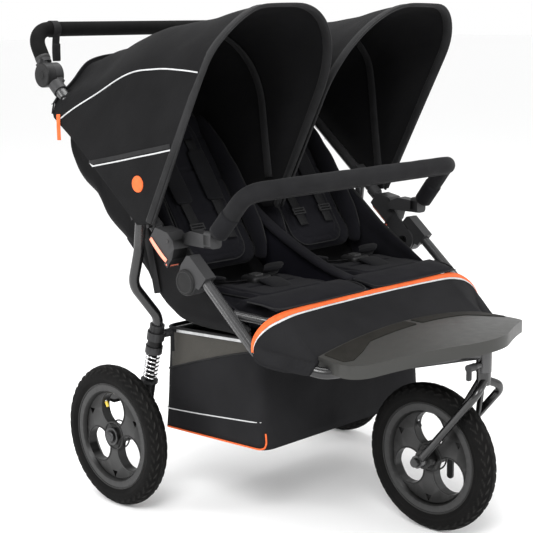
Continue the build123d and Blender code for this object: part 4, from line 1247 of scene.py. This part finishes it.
def divider_web():
    """The upright cloth between the seats that carries the padded strip."""
    top = smooth_path(
        [(0, 192, 634), (0, 150, 594), (0, 90, 556), (0, 10, 518), (0, -70, 489), (0, -130, 474)], 9.0
    )
    low = smooth_path(
        [(0, 196, 560), (0, 150, 500), (0, 90, 452), (0, 20, 424), (0, -70, 420), (0, -128, 424)], 9.0
    )
    n = 40
    top, low = (p[np.linspace(0, len(p) - 1, n).astype(int)] for p in (top, low))
    s = np.linspace(0, 1, 10)[:, None, None]
    grid = top[None] * (1 - s) + low[None] * s
    grid[..., 0] += 1.8 * value_noise(grid.reshape(-1, 3), 26.0, 6).reshape(grid.shape[:2])
    return grid_sheet("divider_cloth", grid, M["lining"], thick=1.6, offset=0.0)


div_web = divider_web()
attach(div_web, "rear_frame")


def side_wing(name):
    """The soft inner side panel, from the cushion's edge up to the frame tube."""
    top = smooth_path(
        [
            (300, 240, 690), (302, 170, 640), (303, 90, 580), (303, 20, 530), (301, -60, 482),
            (297, -136, 447)
        ],
        9.0
    )
    low = smooth_path(
        [
            (296, 224, 560), (296, 150, 494), (296, 90, 440), (296, 20, 424), (296, -70, 424),
            (294, -134, 428)
        ],
        9.0
    )
    n = 44
    top, low = (p[np.linspace(0, len(p) - 1, n).astype(int)] for p in (top, low))
    s = np.linspace(0, 1, 14)[:, None, None]
    grid = top[None] * (1 - s) + low[None] * s
    puff = 3.0 * np.abs(np.sin(s[..., 0] * math.pi * 3)) * np.ones((1, n))
    grid[..., 0] -= puff + 0.8 * value_noise(grid.reshape(-1, 3), 18.0, 8).reshape(grid.shape[:2])
    return grid_sheet(name, grid, M["pad"], thick=2.4, offset=0.0)


wing_left, wing_right = both(side_wing, "seat_side_wing", "rear_frame", slot="seat_fabric")

def front_flap(name):
    """The padded tongue from the cushion's front edge over the crossbar to the apron."""
    cols, rows = 26, 14
    top, low = [], []
    for j in range(rows):
        t = j / (rows - 1)
        y = -108.0 - 84.0 * t
        edge_y = math.sin(math.pi * min(max(t, 0.0), 1.0)) ** 0.45
        for i in range(cols):
            u = i / (cols - 1)
            x = 7.0 + (291.0 - 12.0 * t - 7.0) * u
            edge = edge_y * math.sin(math.pi * u) ** 0.3
            puff = 6.5 * edge + 1.0 * float(value_noise(np.array([[x, y, 0.0]]), 17.0, 21)[0]) * edge
            base = 478.0 - 8.5 * t * t - 3.0 * t
            top.append((x, y, base + puff))
            low.append((x, y, base - 4.5 * edge))
    verts = np.array(top + low)
    n = rows * cols
    faces = grid_faces(rows, cols)
    faces += [tuple(q + n for q in f[::-1]) for f in grid_faces(rows, cols)]
    rim = [i for i in range(cols)] + [j * cols + cols - 1 for j in range(1, rows)]
    rim += [
        (rows - 1) * cols + i for i in range(cols - 2, -1, -1)
    ] + [j * cols for j in range(rows - 2, 0, -1)]
    faces += [(a, a + n, b + n, b) for a, b in zip(rim, rim[1:] + rim[:1])]
    obj = finish_mesh(name, verts, faces, M["pad"])
    fix_normals(obj)
    return obj


def flap_piping(name):
    path = smooth_path(
        [
            (12, -124, 477.5), (9, -160, 476), (22, -189, 469), (90, -192.5, 468), (200, -192.5, 468),
            (268, -189, 469), (283, -160, 475), (288, -124, 477)
        ],
        7.0
    )
    return sweep(name, path, ring(1.7, 8), (0, 0, 1), M["binding"])


for make, stem in ((front_flap, "seat_front_flap"), (flap_piping, "seat_flap_piping")):
    flap_left = make(f"{stem}_left")
    flap_right = mirrored(flap_left, f"{stem}_right")
    for obj, sign in ((flap_left, 1), (flap_right, -1)):
        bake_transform(obj)


def pull_tab(name):
    """The zip's webbing tab at the hood's rear edge."""
    path = smooth_path([(356, 366, 815), (359.5, 362, 800), (361, 360, 780), (361.5, 359, 762)], 4.0)
    return sweep(name, path, band(1.6, 8.0, 0.4), (0.75, -0.65, 0), M["orange"])


both(pull_tab, "hood_zip_tab", "rear_frame", slot="webbing")

# ---------------------------------------------------------------- apron

PLATE_TOP, PLATE_SIDE, PLATE_HALF = 415.0, 385.0, 278.0


def plate_z(x):
    return PLATE_SIDE + (PLATE_TOP - PLATE_SIDE) * (1 - (x / PLATE_HALF) ** 2)


def apron_edges(n=61):
    """The apron's top and bottom edges on the left, from the middle out to the tube's knee."""
    top = smooth_path(
        [
            (0, -192, 464), (90, -192, 464), (180, -192, 463.5), (245, -191, 462), (282, -189, 456),
            (308, -188, 446), (330, -190, 432), (343, -194, 417), (348, -199, 402)
        ],
        6.0
    )
    low = smooth_path(
        [
            (0, -273.5, plate_z(0) - 6), (90, -273.5, plate_z(90) - 6), (180, -273.5, plate_z(180) - 6),
            (240, -273.5, plate_z(240) - 7), (262, -284, 378), (282, -283, 366), (309, -256, 366),
            (334, -222, 374), (348, -203, 386)
        ],
        6.0
    )
    return resample(top, 2.0), resample(low, 2.0)


def apron_grid(rows=30, cols=120):
    top, low = apron_edges()
    pick = np.linspace(0, 1, cols)
    top = top[(pick * (len(top) - 1)).astype(int)]
    low = low[(pick * (len(low) - 1)).astype(int)]
    s = np.linspace(0, 1, rows)[:, None, None]
    half = top[None] * (1 - s) + low[None] * s
    flat = half.reshape(-1, 3)
    across = np.broadcast_to(pick[None], (rows, cols)).ravel()
    down = np.broadcast_to(s[..., 0], (rows, cols)).ravel()
    give = np.sin(down * math.pi) * (1 - np.clip((across - 0.75) / 0.25, 0, 1))
    slack = (
        -4.0 + 1.8 * value_noise(flat * (1, 0.6, 0.6), 42.0, 9) + 1.0 * value_noise(flat, 17.0, 10)
    ) * give
    flat = flat + slack[:, None] * np.array([0, -0.55, 0.83])
    flat = push_out(flat, FRONT_LINE, 16.0)
    half = flat.reshape(half.shape)
    left = half[:, ::-1]
    right = half[:, 1:] * np.array([-1, 1, 1])
    return np.concatenate([left, right], axis=1)


apron_points = apron_grid()
apron = grid_sheet("apron_cloth", apron_points, M["apron"], thick=1.6, offset=-1.0)
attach(apron, "front_frame")
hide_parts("apron")


def edge_tape(name, row_from, row_to, material, lift):
    """A tape that follows the apron's top edge, between two shares of its depth."""
    grid = apron_points
    rows = grid.shape[0] - 1

    def at(share):
        i = min(int(share * rows), rows - 1)
        f = share * rows - i
        return grid[i] * (1 - f) + grid[i + 1] * f

    strip = np.stack([at(s) for s in np.linspace(row_from, row_to, 4)])
    along = np.gradient(grid[0], axis=0)
    down = grid[3] - grid[0]
    out = np.cross(along, down)
    out /= np.maximum(np.linalg.norm(out, axis=1)[:, None], 1e-9)
    out *= np.sign(out[:, 2:3] + 1e-9)
    return grid_sheet(name, strip + out[None] * lift, material, thick=0.9, offset=0.0)


orange_edge = edge_tape("apron_orange_tape", 0.0, 0.075, M["orange"], 1.6)
white_edge = edge_tape("apron_white_tape", 0.078, 0.112, M["piping"], 1.4)
for obj in (orange_edge, white_edge):
    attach(obj, "front_frame")


def apron_roll():
    path = apron_points[0] + np.array([0, 0.6, 0.4])
    return sweep("apron_rolled_edge", path, ring(2.2, 8), (0, -0.5, 0.8), M["orange"])


roll = apron_roll()
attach(roll, "front_frame")

# ---------------------------------------------------------------- basket


def basket_grid():
    """Rings from the top edge down the walls, then in across the floor."""
    half, front_top, rear_top, front_low, rear_low = 248.5, -115.0, 168.0, -128.0, 186.0
    corner = 26.0
    ring_pts = []
    for sx, sy, start in ((1, 1, 0), (-1, 1, 90), (-1, -1, 180), (1, -1, 270)):
        for k in range(7):
            a = math.radians(start + 90 * k / 6)
            ring_pts.append((sx, sy, math.cos(a), math.sin(a)))
    closed = []

    def loop(h, shrink=0.0):
        y_front = front_top + (front_low - front_top) * h
        y_rear = rear_top + (rear_low - rear_top) * h
        pts = []
        for sx, sy, c, s in ring_pts:
            cx = sx * (half - corner)
            cy = (y_rear - corner) if sy > 0 else (y_front + corner)
            pts.append((cx + corner * c, cy + corner * s, 0.0))
        pts.append(pts[0])
        dense = resample(np.array(pts), 2.0)
        dense = dense[np.linspace(0, len(dense) - 1, 141).astype(int)[:-1]]
        middle = np.array([0.0, (y_front + y_rear) / 2, 0.0])
        return middle + (dense - middle) * (1 - shrink)

    def top_z(y):
        return 389.0 - (y + 80.0) * 0.058

    def low_z(y):
        return 168.0 - (y + 129.0) * 0.0465

    rows = []
    for k in range(26):
        flat_h = k / 25
        pts = loop(flat_h)
        rear_share = np.clip((pts[:, 1] + 115.0) / 285.0, 0, 1)
        window = 0.10 + 0.32 * rear_share**1.2
        if k <= 3:
            h = 0.045 * k / 3 * np.ones(len(pts))
        elif k <= 12:
            h = 0.045 + (window - 0.045) * (k - 3) / 9
        else:
            h = window + (1 - window) * (k - 12) / 13
        y_front = front_top + (front_low - front_top) * h
        y_rear = rear_top + (rear_low - rear_top) * h
        pts0, pts1 = loop(0.0), loop(1.0)
        xy = pts0 * (1 - h[:, None]) + pts1 * h[:, None]
        z = top_z(xy[:, 1]) * (1 - h) + low_z(xy[:, 1]) * h
        xy[:, 2] = z
        give = np.sin(h * math.pi) * 3.5
        out = np.column_stack(
            [
                np.where(np.abs(xy[:, 0]) > half - 2, np.sign(xy[:, 0]), 0),
                np.where(np.abs(xy[:, 0]) > half - 2, 0, np.sign(xy[:, 1] - 20)), np.zeros(len(xy))
            ]
        )
        ripple = 1.2 * value_noise(xy, 24.0, 12) + 0.8 * value_noise(xy * (1, 1, 0.3), 11.0, 13)
        xy -= out * (1.5 + np.abs(ripple) * np.sin(h * math.pi) - give * 0.4)[:, None]
        rows.append(xy)
    for shrink in (0.04, 0.12, 0.25, 0.45, 0.7, 1.0):
        pts = loop(1.0, shrink)
        pts[:, 2] = low_z(pts[:, 1]) + 0.8 + 3.0 * (0 if shrink < 0.1 else 1) * abs(math.sin(shrink * 5))
        rows.append(pts)
    return np.array(rows)


def ride_basket(obj):
    """The basket folds flat between the frames; each piece on it rides the rear frame with a mesh of its own.
    """
    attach(obj, "rear_frame")
    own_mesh(obj)


basket_points = basket_grid()
basket_faces = grid_faces(basket_points.shape[0], basket_points.shape[1], True)
face_rows = np.repeat(np.arange(basket_points.shape[0] - 1), basket_points.shape[1])
face_x = np.abs(basket_points[:-1].reshape(-1, 3)[:, 0])
net_faces = ((face_rows >= 3) & (face_rows < 12) & (face_x > 246.0)).astype(int)
basket = finish_mesh("basket_cloth", basket_points.reshape(-1, 3), basket_faces, None, grid_uv(basket_points),
                     materials=[M["apron"], M["net"]], face_materials=net_faces)
fix_normals(basket)
thick = basket.modifiers.new("cloth", "SOLIDIFY")
thick.thickness, thick.offset = 1.4 * MM, -1.0
ride_basket(basket)
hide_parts("basket")


def basket_ring(name, row, radius, material, lift=0.6):
    pts = basket_points[row].copy()
    middle = pts.mean(0)
    out = pts - middle
    out[:, 2] = 0
    out /= np.linalg.norm(out, axis=1)[:, None]
    return sweep(name, pts + out * lift, ring(radius, 8), (0, 0, 1), material, closed=True)


def basket_line(name, pairs, x, radius, material):
    path = smooth_path([(x, y, z) for y, z in pairs], 8.0)
    path = lay_on(basket, path, (-1, 0, 0), 0.4)
    return sweep(name, path, ring(radius, 8), (1, 0, 0), material)


bpy.context.view_layer.update()
top_tape = basket_ring("basket_top_binding", 0, 3.0, M["binding"])
window_tape = basket_ring("basket_window_binding", 12, 1.8, M["binding"])
for obj in (top_tape, window_tape):
    ride_basket(obj)


def reflective_strip(name):
    pts = []
    for row in (0.4, 1.4, 2.6):
        i = int(row)
        line = basket_points[i] * (1 - row + i) + basket_points[i + 1] * (row - i)
        side = line[(line[:, 0] > 246.0) & (line[:, 1] > -92) & (line[:, 1] < 136)]
        pts.append(side[np.argsort(side[:, 1])])
    n = min(len(p) for p in pts)
    grid = np.stack([p[:n] for p in pts])
    grid[..., 0] += 1.0
    return grid_sheet(name, grid, M["piping"], thick=0.8, offset=0.0)


def bottom_piping(name):
    """Piping along the floor's side edge, then a short way up the front corner."""
    line = basket_points[25]
    side = line[(line[:, 0] > 246.0)]
    side = side[np.argsort(-side[:, 1])]
    low = side[-1]
    up = [
        low + np.array([-3.5, -10.0, 3.0]), low + np.array([-5.5, -14.0, 14.0]),
        low + np.array([-5.0, -13.0, 34.0])
    ]
    path = np.vstack([side, smooth_path(up, 5.0)]) + np.array([0.4, -0.4, 1.6])
    return sweep(name, resample(path, 5.0), ring(1.8, 8), (0.6, -0.2, 1), M["orange"])


basket_trims = []
for make, stem in (
    (reflective_strip, "basket_reflective_strip"),
    (
        lambda n: basket_line(n, [(176, 196), (60, 206), (-112, 224)], 262, 1.4, M["piping"]),
        "basket_white_piping"
    ),
    (bottom_piping, "basket_orange_piping"),
):
    trim_left = make(f"{stem}_left")
    basket_trims += [trim_left, mirrored(trim_left, f"{stem}_right")]
for obj in basket_trims:
    ride_basket(obj)

# ---------------------------------------------------------------- bumper, grip and wrist strap

BUMPER_ROUTE = [
    (-313, -67, 600), (-302, -140, 688), (-215, -212, 702), (215, -212, 702), (302, -140, 688),
    (313, -67, 600)
]
bumper_line = rounded_path(BUMPER_ROUTE, [52.0, 60.0, 60.0, 52.0], 7.0)


def foam_section(count=26):
    a = np.arange(count) / count * 2 * math.pi
    pull = 1 - 0.06 * np.exp(-((np.mod(a - math.pi + math.pi, 2 * math.pi) - math.pi) / 0.25) ** 2)
    return np.stack([18.2 * np.cos(a) * pull, 17.2 * np.sin(a) * pull], axis=1)


def bumper_cover():
    s = np.linspace(0, 1, len(bumper_line))
    wobble = 1 + 0.012 * np.sin(s * 90) * np.sin(s * math.pi) + 0.008 * np.sin(s * 37 + 1)
    end = np.clip(np.minimum(s, 1 - s) / 0.02, 0, 1)
    scale = wobble * (0.9 + 0.1 * end)
    obj = sweep("bumper_foam_cover", bumper_line, foam_section(), (0, 0.2, 1), M["foam"], scale=scale)
    return soften(obj)


cover = bumper_cover()
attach(cover, "bumper")
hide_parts("bumper_bar")


def bumper_cuff(name):
    """The plain sleeve at the bumper's end, over the clip's neck."""
    part = bumper_line[-9:-1]
    return sweep(
        name, part, ring(19.4, 24, 0.96), (0, 0.2, 1), M["pad_light"],
        scale=np.linspace(1.0, 0.98, len(part))
    )


both(bumper_cuff, "bumper_cuff", "bumper", slot="bumper_foam")


def bumper_seam():
    t = tangents(bumper_line)
    side = np.cross(t, np.array([0, 0.2, 1.0]))
    side /= np.linalg.norm(side, axis=1)[:, None]
    path = bumper_line[8:-8] - np.array([0, 0.2, 1.0]) * 17.6
    return sweep("bumper_cover_seam", path, ring(1.3, 6), (0, 0, 1), M["binding"])


seam = bumper_seam()
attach(seam, "bumper")


def up_handle(distance):
    run = np.array([482.0, 989.0]) - HANDLE_PIVOT
    step = run / np.linalg.norm(run) * distance
    return tuple(HANDLE_PIVOT + step)


handle_points = [(-333, *up_handle(37.7)), (-333, 482, 989), (333, 482, 989), (333, *up_handle(37.7))]
grip_line = rounded_path(handle_points, [45.0, 45.0], 5.0)
grip_scale = np.ones(len(grip_line))
grip_scale[[0, 1, -2, -1]] = 0.97, 1.0, 1.0, 0.97
grip = sweep("handle_foam_grip", grip_line, ring(15.9, 28), (0, 0.86, 0.5), M["grip"], scale=grip_scale)
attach(grip, "handle")
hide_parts("handle_grip")


def grip_collar(name):
    spot = [(333, *up_handle(37.0)), (333, *up_handle(43.0))]
    return sweep(name, resample(np.array(spot, float), 2.0), ring(16.4, 24), (1, 0, 0), M["plastic_grey"])


both(grip_collar, "grip_collar", "handle", slot="black_plastic")


def ribbon(name, path, width_dir, width, thick, material):
    """A strap whose width stays along one fixed direction."""
    t = tangents(path)
    w = np.asarray(width_dir, float)
    normal = np.cross(t, w)
    normal /= np.linalg.norm(normal, axis=1)[:, None]
    return sweep(name, path, band(thick, width), normal, material)


loop_pts = [(-277, 482 + 17.4 * math.cos(math.radians(a)), 989 + 17.4 * math.sin(math.radians(a)))
            for a in np.linspace(-80, 235, 34)]
tail_pts = smooth_path(
    [
        (-277, 472.5, 972.5), (-277, 475.2, 955), (-277, 476.2, 938), (-277, 475.2, 923),
        (-277, 473.2, 921.5), (-277, 472.2, 926), (-277, 472.0, 940), (-277, 471.6, 958)
    ],
    4.0
)
strap = ribbon("wrist_strap_webbing", np.vstack([loop_pts, tail_pts]), (1, 0, 0), 19.0, 1.4, M["webbing"])
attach(strap, "handle")
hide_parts("wrist_strap")

# ---------------------------------------------------------------- wheels


def tyre(name, centre_x, axle):
    """A tyre with a zigzag centre rib, shoulder blocks and side ribs, all in relief."""
    around, across = 252, 46
    theta = np.arange(around) / around * 2 * math.pi
    phi = np.radians(np.linspace(-128.5, 128.5, across))
    grid = np.zeros((around, across, 3))
    for i in range(around):
        for j, p in enumerate(phi):
            deg = abs(math.degrees(p))
            height = 0.0
            if deg < 14:
                height = 0.0 if (i + (2 if p > 0 else 0)) % 6 else -0.9
            elif deg < 20:
                height = -1.7
            elif deg < 42:
                height = -1.7 if (i + int(deg / 7)) % 6 < 2 else 0.0
            elif deg < 47:
                height = -1.5
            elif deg < 66:
                height = -1.6 if (i - int(deg / 8)) % 6 < 2 else -0.1
            elif deg < 70:
                height = -1.1
            else:
                height = -0.9 if i % 3 or deg > 84 else -0.5
            if 96 < deg < 101:
                height = -0.35
            r = 22.5 + height
            radial, side = 127.5 + r * math.cos(p), r * math.sin(p)
            grid[i, j] = (side, radial * math.sin(theta[i]), radial * math.cos(theta[i]))
    inner = []
    for side in (17.2, -17.2):
        inner.append(np.stack([np.full(around, side), 113.3 * np.sin(theta), 113.3 * np.cos(theta)], axis=1))
    grid = np.concatenate([grid, np.stack(inner, axis=1)], axis=1)
    grid += np.array([centre_x, *axle])
    cols = across + 2
    faces = []
    for i in range(around):
        n = (i + 1) % around
        for j in range(cols):
            k = (j + 1) % cols
            faces.append((i * cols + j, n * cols + j, n * cols + k, i * cols + k))
    obj = finish_mesh(name, grid.reshape(-1, 3), faces, M["tyre"])
    fix_normals(obj)
    return obj


def wheel_ring(name, centre_x, axle, radius, thick, material, flat=1.0):
    a = np.arange(72) / 72 * 2 * math.pi
    path = np.stack(
        [np.full(72, centre_x), axle[0] + radius * np.sin(a), axle[1] + radius * np.cos(a)], axis=1
    )
    return sweep(name, path, ring(thick, 8, flat), (1, 0, 0), material, closed=True)


def lathe(name, centre, profile, material, count=32, axis="x", sign=1, sides=None):
    """A turned piece: (offset along the axis, radius) pairs."""
    n = sides or count
    a = np.arange(n) / n * 2 * math.pi
    rows = []
    for off, r in profile:
        c, s, o = r * np.cos(a), r * np.sin(a), np.full(n, off * sign)
        order = {"x": (o, c, s), "y": (c, o, s), "z": (c, s, o)}[axis]
        rows.append(np.stack(order, axis=1))
    grid = np.array(rows) + np.asarray(centre, float)
    faces = grid_faces(len(profile), n, True)
    faces += [tuple(range(n)), tuple(reversed(range((len(profile) - 1) * n, len(profile) * n)))]
    obj = finish_mesh(name, grid.reshape(-1, 3), faces, material, smooth=sides is None)
    fix_normals(obj)
    return obj


def ride_slot(obj, body):
    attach(obj, body)
    return obj


WHEELS = {
    "front": ("front_wheel", 0.0, (-348.0, 150.0), "front_tyre", 30.4),
    "rear_left": ("rear_wheel_left", 346.0, (215.0, 150.0), "rear_tyre_left", 26.0),
    "rear_right": ("rear_wheel_right", -346.0, (215.0, 150.0), "rear_tyre_right", 26.0),
}
for stem, (body, x, axle, node, _) in WHEELS.items():
    rubber = tyre(f"{stem}_tyre_tread", x, axle)
    ride_slot(rubber, body)
    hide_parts(node)
    for sign in (-1, 1):
        tag = "out" if sign > 0 else "in"
        ride_slot(
            wheel_ring(f"{stem}_bead_{tag}", x + sign * 17.2, axle, 110.8, 1.6, M["rim"]), body,
        )
        ride_slot(
            wheel_ring(f"{stem}_spoke_ring_{tag}", x + sign * 9.2, axle, 29.0, 1.8, M["rim"]), body,
        )
        for k in range(3):
            a = math.radians(90 + 120 * k)
            spot = (axle[0] + 57 * math.cos(a), axle[1] + 57 * math.sin(a))
            ride_slot(
                wheel_ring(f"{stem}_window_lip_{tag}_{k}", x + sign * 9.0, spot, 37.4, 1.7, M["rim"]),
                body
            )
    valve_y, valve_z = axle[0] + 86 * math.sin(math.radians(28)), axle[1] + 86 * math.cos(math.radians(28))
    aim = np.array([0.0, -math.sin(math.radians(28)), -math.cos(math.radians(28))])
    base = np.array([x, valve_y, valve_z])
    stem_path = np.array([base - aim * 6, base + aim * 8, base + aim * 16])
    ride_slot(
        sweep(f"{stem}_valve_stem", resample(stem_path, 3.0), ring(2.7, 12), (1, 0, 0), M["steel"]), body,
    )
    cap_path = resample(np.array([base + aim * 12, base + aim * 24]), 2.0)
    ride_slot(
        sweep(
            f"{stem}_valve_cap", cap_path, ring(3.7, 12), (1, 0, 0),
            M["plastic"] if stem == "front" else M["yellow"], scale=np.linspace(1.0, 0.8, len(cap_path))
        ),
        body
    )

for side, sign in SIDES:
    hub = (sign * 361.4, 215.0, 150.0)
    ride_slot(
        lathe(
            f"rear_hub_ring_{side}", hub,
            [(-1.2, 19.6), (0.8, 19.6), (1.4, 18.6), (1.4, 13.4), (-1.2, 13.0)], M["dark_steel"],
            sign=sign
        ),
        f"rear_wheel_{side}"
    )

# ---------------------------------------------------------------- small hardware


def screw(stem, centre, axis, sign, body, radius=4.2):
    profile = [(0.0, radius), (0.8, radius), (1.4, radius * 0.82), (1.4, radius * 0.46), (0.5, radius * 0.42)]
    ride_slot(lathe(stem, centre, profile, M["dark_steel"], axis=axis, sign=sign, count=20), body)


def lever_grip(name):
    """The fold lever's finger bar, outside the lock along its lower edge."""
    lock = down_tube(HANDLE_PIVOT, 498.0)
    path = np.array(
        [
            (354.6, *down_tube(lock, u, v)) for u,
            v in smooth_path(
                [(-34.0, -11.0, 0), (-20.0, -12.5, 0), (10.0, -13.0, 0), (27.0, -11.5, 0)], 5.0
            )[:, :2]
        ]
    )
    s = np.linspace(0, 1, len(path))
    scale = 0.72 + 0.28 * np.sin(np.clip(s, 0.03, 0.97) * math.pi) ** 0.3
    return sweep(name, path, band(2.6, 10.0, 0.5), (1, 0, 0), M["red"], scale=scale)


both(lever_grip, "fold_lever_grip", "fold_lever_SIDE", slot="red_plastic")

for side, sign in SIDES:
    lock = down_tube(HANDLE_PIVOT, 498.0)
    screw(f"lock_screw_{side}", (sign * 353.0, *down_tube(lock, 4.0, 20.0)), "x", sign, "rear_frame", 3.6)
    screw(
        f"housing_screw_{side}", (sign * 346.5, *down_tube(EXIT, -24.0, -14.0)), "x", sign, "front_frame",
        3.4
    )
    clamp = down_tube(HANDLE_PIVOT, 384.0, -4.0)
    screw(
        f"leg_clamp_screw_{side}", (sign * 346.5, clamp[0] - 1, clamp[1] - 12), "x", sign, "rear_frame",
        4.0
    )
    cover_ring = wheel_ring(f"hub_cover_ring_{side}", sign * 351.0, (-15.0, 509.0), 20.5, 0.9, M["plastic"])
    ride_slot(cover_ring, "front_frame")
    ride_slot(
        lathe(
            f"axle_nut_{side}", (sign * 366.5, 215.0, 150.0),
            [(0.0, 7.6), (1.2, 7.6), (1.9, 6.6), (1.9, 0.5)], M["dark_steel"], sign=sign, sides=6
        ),
        f"strut_{side}"
    )

# ---------------------------------------------------------------- finishes on the CAD's own pieces

FINISH = {
    "paint": [
        "upper_tubes", "rear_legs", "rear_crossbar", "front_tubes", "seat_front_bar", "head_tube", "fork",
        "handle_tube"
    ],
    "plastic": [
        "fold_locks", "leg_clamps", "strut_sleeves", "handle_joint_bases", "hood_mounts",
        "handle_joint_caps", "hub_housings", "bumper_clips", "swivel_lock", "quick_release",
        "brake_pedal", "strut_lower_left", "strut_lower_right"
    ],
    "plastic_grey": [
        "hub_covers", "buckle_button_left", "buckle_button_right", "handle_button_left",
        "handle_button_right"
    ],
    "footplate": ["footplate"], "ribbed": ["footplate_grips"],
    "dark_steel": ["hub_pivot_pins", "front_axle", "stub_axle_left", "stub_axle_right"],
    "chrome": ["spring_left", "spring_right"], "red": ["fold_lever_left", "fold_lever_right"],
    "rim": ["front_rim", "rear_rim_left", "rear_rim_right"],
}
for finish, names in FINISH.items():
    for node in names:
        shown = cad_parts[node]
        shown.data.materials.clear()
        shown.data.materials.append(M[finish])

# ---------------------------------------------------------------- floor, light and camera


FLOOR_HALF = 60.0


def stage_floor():
    mat, tree, shader, out = new_material("studio_floor")
    noise = put(tree, "TexNoise", {"Scale": 3.0, "Detail": 2.0})
    ramp = put(tree, "ValToRGB", {0: noise.outputs[0]})
    ramp.color_ramp.elements[0].color = (0.955, 0.955, 0.955, 1)
    ramp.color_ramp.elements[1].color = (0.975, 0.975, 0.975, 1)
    tree.links.new(ramp.outputs[0], shader.inputs["Base Color"])
    shader.inputs["Roughness"].default_value = 0.6
    size = FLOOR_HALF
    mesh = bpy.data.meshes.new("floor")
    mesh.from_pydata(
        [(-size, -size, 0), (size, -size, 0), (size, size, 0), (-size, size, 0)], [], [(0, 1, 2, 3)]
    )
    mesh.materials.append(mat)
    floor = bpy.data.objects.new("floor", mesh)
    bpy.context.scene.collection.objects.link(floor)


def area_light(name, spot, aim, size, power, tint=(1, 1, 1)):
    data = bpy.data.lights.new(name, "AREA")
    data.shape = "RECTANGLE"
    data.size, data.size_y = size
    data.energy = power
    data.color = tint
    light = bpy.data.objects.new(name, data)
    light.location = spot
    light.rotation_mode = "QUATERNION"
    light.rotation_quaternion = (Vector(aim) - Vector(spot)).to_track_quat("-Z", "Y")
    bpy.context.scene.collection.objects.link(light)


stage_floor()
world = bpy.data.worlds.new("studio")
world.use_nodes = True
world.node_tree.nodes["Background"].inputs[0].default_value = (1.0, 1.0, 1.0, 1)
world.node_tree.nodes["Background"].inputs[1].default_value = 1.0
bpy.context.scene.world = world
centre = (0.0, 0.0, 0.55)
area_light("key", (-2.6, -2.0, 3.0), centre, (1.6, 1.6), 120)
area_light("side", (-3.2, 1.6, 1.7), centre, (1.2, 2.0), 50)
area_light("front", (0.9, -3.6, 1.6), (0, -0.2, 0.5), (2.0, 1.2), 40)
area_light("top", (0.2, 0.6, 3.6), centre, (2.4, 2.4), 80)
bpy.context.scene.view_settings.view_transform = "Standard"

camera_data = bpy.data.cameras.new("camera")
camera_data.sensor_width = 36.0
camera_data.lens = 36.0 * 1287.95 / 533.0
camera = bpy.data.objects.new("camera", camera_data)
right = Vector((0.70841, -0.70573, -0.00959))
up = Vector((0.13981, 0.12699, 0.98200))
forward = Vector((0.69181, 0.69700, -0.18863))
turn = Matrix((right, up, -forward)).transposed()
camera.matrix_world = Matrix.Translation((-1.95018, -1.85166, 1.00580)) @ turn.to_4x4()
bpy.context.scene.collection.objects.link(camera)
bpy.context.scene.camera = camera
